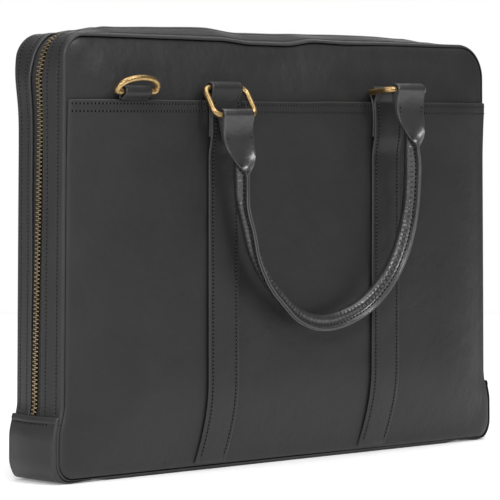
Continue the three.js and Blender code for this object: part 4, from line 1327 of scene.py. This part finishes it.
def handle(side):
    route, ends = handle_route()
    run = run_length(route)
    length = run[-1]
    at = np.linspace(0, length, round(length / 0.9) + 1)
    middle = points_at(at, run, route)
    tangent = unit(np.gradient(middle, axis=0))
    from_ring = np.minimum(at, length - at) + LEAF_HEAD
    grown = (from_ring - LOOP_MIDDLE) / LEAF_LENGTH
    share = np.clip(grown, 0, 1)
    fold = np.clip(1 - (from_ring - 1) / 13, 0, 1) ** 1.3
    swollen = 1 + (2 * (LOOP_MIDDLE + WALL / 2) / TAB_THICKNESS - 1) * fold
    tangent[:, 0] *= smooth(share * 2)
    tangent = unit(tangent)
    outside = unit(np.stack([tangent[:, 2], np.zeros(len(at)), -tangent[:, 0]], 1))
    sideways = np.maximum(0, outside[:, 0]) * FLANGE_SIDE * smooth((grown - 0.8) / 0.6)
    turn = FLANGE_TURN * np.hypot(np.maximum(0, -outside[:, 2]), sideways) ** 1.5
    front = np.array([0, -1, 0]) + outside * turn[:, None]
    front = unit(front - tangent * (front * tangent).sum(1, keepdims=True))
    across = np.cross(tangent, front)
    rows = grip_rows()
    rings, worn = [], []
    for k in range(len(at)):
        section = grip_section(share[k], rows, swollen[k])
        folds = [height * math.sin(at[k] / apart * 2 * math.pi + stray * math.sin(at[k] / over))
                 for height, apart, stray, over in CREASES]
        crease = share[k] ** 4 * sum(folds)
        gathered = np.clip(section[:, 1] / GRIP_RADIUS + 0.25, 0, 1) * (section[:, 1] < GRIP_RADIUS)
        puff = 1 + crease * gathered / GRIP_RADIUS
        sideways_part = across[k] * (section[:, 0] * puff)[:, None]
        rings.append(middle[k] + sideways_part + front[k] * (section[:, 1] * puff)[:, None])
        # Edges lighter, more so on the leaf: wear and a painted highlight
        worn.append(section[:, 2] * (0.6 + 0.4 * (1 - share[k])))
    rings = np.array(rings)
    loft(f"{side}_handle_grip", rings * TURN[side], HANDLE_LEATHER, "leather", replaces=(f"{side}_handle",),
         worn=np.array(worn).reshape(-1), sharp=60)
    stitch_front = GRIP_RADIUS + FLANGE_LENGTH - 3
    curl, close = leaf_curl(share)[:, None], leaf_close(share)[:, None]
    leaf_x = TAB_WIDTH / 2 - 2.6
    rows_out = []
    for sign in (-1, 1):
        for face, stop_x, ends_at in ((-1, FLANGE_THICKNESS / 2 + 0.02, math.inf), (1, 0.2, 0.9)):
            flat = face * TAB_THICKNESS / 2 * swollen[:, None]
            off = leaf_x + (stop_x - leaf_x) * close
            ahead = flat + (stitch_front - flat) * curl
            line = middle + across * sign * off + front * ahead
            ups = -across * sign * face * close + front * face * (1 - close)
            for half in (at < length / 2, at >= length / 2):
                kept = (grown > 0.22) & (grown < ends_at) & half
                rows_out.append((line[kept] * TURN[side], unit(ups[kept]) * TURN[side]))
    sew(f"{side}_handle_stitches", rows_out, **HANDLE_STITCH)
    for end, row in zip(ends, STRAPS):
        handle_loop(side, row[0], end)


def handle_loop(side, name, end):
    """The fold of a leaf round the far bar of its ring."""
    rim = TAB_WIDTH / 2
    # Edges of the fold lighter: wear and a painted highlight
    half = [(0, WALL / 2, 0), (rim - 0.9, WALL / 2, 0), (rim - 0.4, WALL / 2 - 0.12, 0.1),
            (rim - 0.1, 0.2, 0.2)]
    upper = [(-a, h, w) for a, h, w in half[::-1]] + half[1:]
    section = np.array(upper + [(rim - 0.4, -WALL / 2, 0.3), (0, -WALL / 2, 0), (-rim + 0.4, -WALL / 2, 0.3)])
    centre = (-(end[1] + SEAM_PLANE), end[2])
    path = np.array(round_bar(centre, 0, 360, 49)[:-1])
    rings = sweep(path, unit(path - np.array(centre)), section, end[0]) * TURN[side]
    loft(f"{side}_handle_loop_{name}", rings, HANDLE_LEATHER, "leather", looped=True,
         worn=np.tile(section[:, 2], len(path)))


# Zip slider and pull

def slider():
    """Slider body with its bridge and a slotted pull, at the closed end of the zip."""
    seat_x = float(settle(SEAM_HALF_WIDTH, SLIDER_FOOT)[0])
    foot = seat_x + SIDE_ARCH - ZIP_RECESS + CLEARANCE
    rings = [[(foot + high * math.sin(angle) ** 0.6, half * math.cos(angle), SLIDER_FOOT + z)
              for angle in np.linspace(0, math.pi, 13)] for z, half, high in SLIDER_BODY]
    loft("zip_slider_body", rings, ZIP_BRASS, "brass", replaces=("zip_slider",))
    bridge = []
    for share in np.linspace(0, 1, 17):
        z = SLIDER_FOOT + BRIDGE_START + BRIDGE_LENGTH * share
        high = foot + 1.4 + BRIDGE_RISE * math.sin(math.pi * share) ** 0.5
        tangent = unit(np.array([math.cos(math.pi * share) * BRIDGE_RISE, 0, BRIDGE_LENGTH / math.pi]))
        normal = np.array([tangent[2], 0, -tangent[0]])
        crown = np.array([high, 0, z])
        bridge.append([crown + normal * 0.35 * math.cos(a) + np.array([0, 1, 0]) * 0.9 * math.sin(a)
                       for a in np.linspace(0, 2 * math.pi, 9)[:-1]])
    loft("zip_slider_bridge", bridge, ZIP_BRASS, "brass")
    eye = SLIDER_FOOT + PULL_EYE
    rings = []
    for angle in np.linspace(0, 2 * math.pi, 41)[:-1]:
        c, s = math.cos(angle), math.sin(angle)
        end = PULL_HEAD if s > 0 else PULL_TAIL
        reach = min(PULL_HALF_WIDTH / max(abs(c), 1e-6), end / max(abs(s), 1e-6))
        y, z = c * reach, eye + s * reach
        edge_y, edge_z = y * 0.94, z - 0.15 * s
        slot_y, slot_z = 1.9 * c, eye - 0.4 + 2 * s
        top, low = foot + 2.9, foot + 1.75
        rings.append([(top, edge_y, edge_z), (foot + 2.6, y, z), (foot + 2.0, y, z), (low, edge_y, edge_z),
                      (low, slot_y, slot_z), (top, slot_y, slot_z)])
    loft("zip_slider_pull", rings, ZIP_BRASS, "brass", looped=True)


# Build

panel("front_panel", CROWN, 0, low=POCKET_TOP - 60)
panel("back_panel", BACK_CROWN, GUSSET_DEPTH, flip=True)
pocket()
for side in ("front", "back"):
    gusset_band(side)
    zip_tape(side)
base_gusset()
corner_patch("left")
corner_patch("right")
zip_chain()
slider()

strap_rows = []
for side, turn in TURN.items():
    for name, centre, rise, droop in STRAPS:
        strip(f"{side}_strap_{name}", strap_path(side, rise), centre, STRAP_WIDTH, STRAP_STITCH_INSET,
              f"{side}_strap_{name}", side)
        strap_rows += strap_stitches(side, centre)
        line, normal = hung(ring_outline(), centre, ring_bar(rise), droop)
        wire(f"{side}_ring_{name}_wire", line * turn, normal * turn, f"{side}_ring_{name}")
    strip(f"{side}_keeper", keeper_path(side), -D_RING_CENTRE, KEEPER_WIDTH, KEEPER_STITCH_INSET,
          f"{side}_d_ring_keeper", side)
    line, normal = hung(d_ring_outline(), -D_RING_CENTRE, d_ring_bar(side), D_RING_LEAN - 90)
    wire(f"{side}_d_ring_wire", line * turn, normal * turn, f"{side}_d_ring",
         body="d_ring" if side == "front" else "bag")
    handle(side)
sew("strap_stitches", strap_rows)
sew("band_stitches", band_rows(), radius=BAND_THREAD)
sew("patch_stitches", patch_rows())

# Camera, light and floor

AIM = Vector((-13.41, 0, 141.92)) * MM
FLOOR_RADIUS = 1.6
FLOOR_SIDES = 96
ROOM_LIGHT = 0.25
SENSOR_WIDTH = 36
LENS = 204.74
CAMERA_PLACE = Vector((-1320.9, -1403.7, 221.9)) * MM
camera_data = bpy.data.cameras.new("camera")
camera_data.sensor_width = SENSOR_WIDTH
camera_data.lens = LENS
camera = bpy.data.objects.new("camera", camera_data)
camera.location = CAMERA_PLACE
camera.rotation_mode = "QUATERNION"
camera.rotation_quaternion = (AIM - CAMERA_PLACE).to_track_quat("-Z", "Y")
bpy.context.scene.collection.objects.link(camera)
bpy.context.scene.camera = camera


def softbox(name, place, size, energy):
    data = bpy.data.lights.new(name, "AREA")
    data.shape = "RECTANGLE"
    data.size, data.size_y = size
    data.energy = energy
    lamp = bpy.data.objects.new(name, data)
    lamp.location = place
    lamp.rotation_mode = "QUATERNION"
    lamp.rotation_quaternion = (AIM - Vector(place)).to_track_quat("-Z", "Y")
    bpy.context.scene.collection.objects.link(lamp)


SOFTBOXES = (
    # name, place and size in metres, watts
    ("overhead", (0.1, -0.1, 2.4), (2.4, 2.4), 46),
    ("key", (0.25, -1.8, 1.75), (0.55, 0.55), 22),
    ("strip", (-2.1, -0.6, 0.9), (0.25, 1.3), 13),
    ("left", (-1.6, -1.7, 1.25), (0.5, 0.5), 28),
    ("behind", (0.9, 1.3, 0.85), (1.3, 0.5), 3.5),
)
for row in SOFTBOXES:
    softbox(*row)

# White behind the bag, a dim room all round it
world = bpy.data.worlds.new("studio")
world.use_nodes = True
room = world.node_tree.nodes["Background"]
room.inputs["Color"].default_value = (1, 1, 1, 1)
room.inputs["Strength"].default_value = ROOM_LIGHT
backdrop = world.node_tree.nodes.new("ShaderNodeBackground")
seen = world.node_tree.nodes.new("ShaderNodeLightPath")
blend = world.node_tree.nodes.new("ShaderNodeMixShader")
links = world.node_tree.links
links.new(seen.outputs["Is Camera Ray"], blend.inputs[0])
links.new(room.outputs[0], blend.inputs[1])
links.new(backdrop.outputs[0], blend.inputs[2])
links.new(blend.outputs[0], world.node_tree.nodes["World Output"].inputs["Surface"])
backdrop.inputs["Color"].default_value = (1, 1, 1, 1)
bpy.context.scene.world = world
bpy.context.scene.view_settings.view_transform = "Standard"

floor_mesh = bpy.data.meshes.new("floor")
rim = [(FLOOR_RADIUS * math.cos(a), FLOOR_RADIUS * math.sin(a), 0)
       for a in np.linspace(0, 2 * math.pi, FLOOR_SIDES + 1)[:-1]]
floor_mesh.from_pydata(rim, [], [list(range(len(rim)))])
floor_mesh.materials.append(pale_floor())
floor = bpy.data.objects.new("floor", floor_mesh)
bpy.context.scene.collection.objects.link(floor)
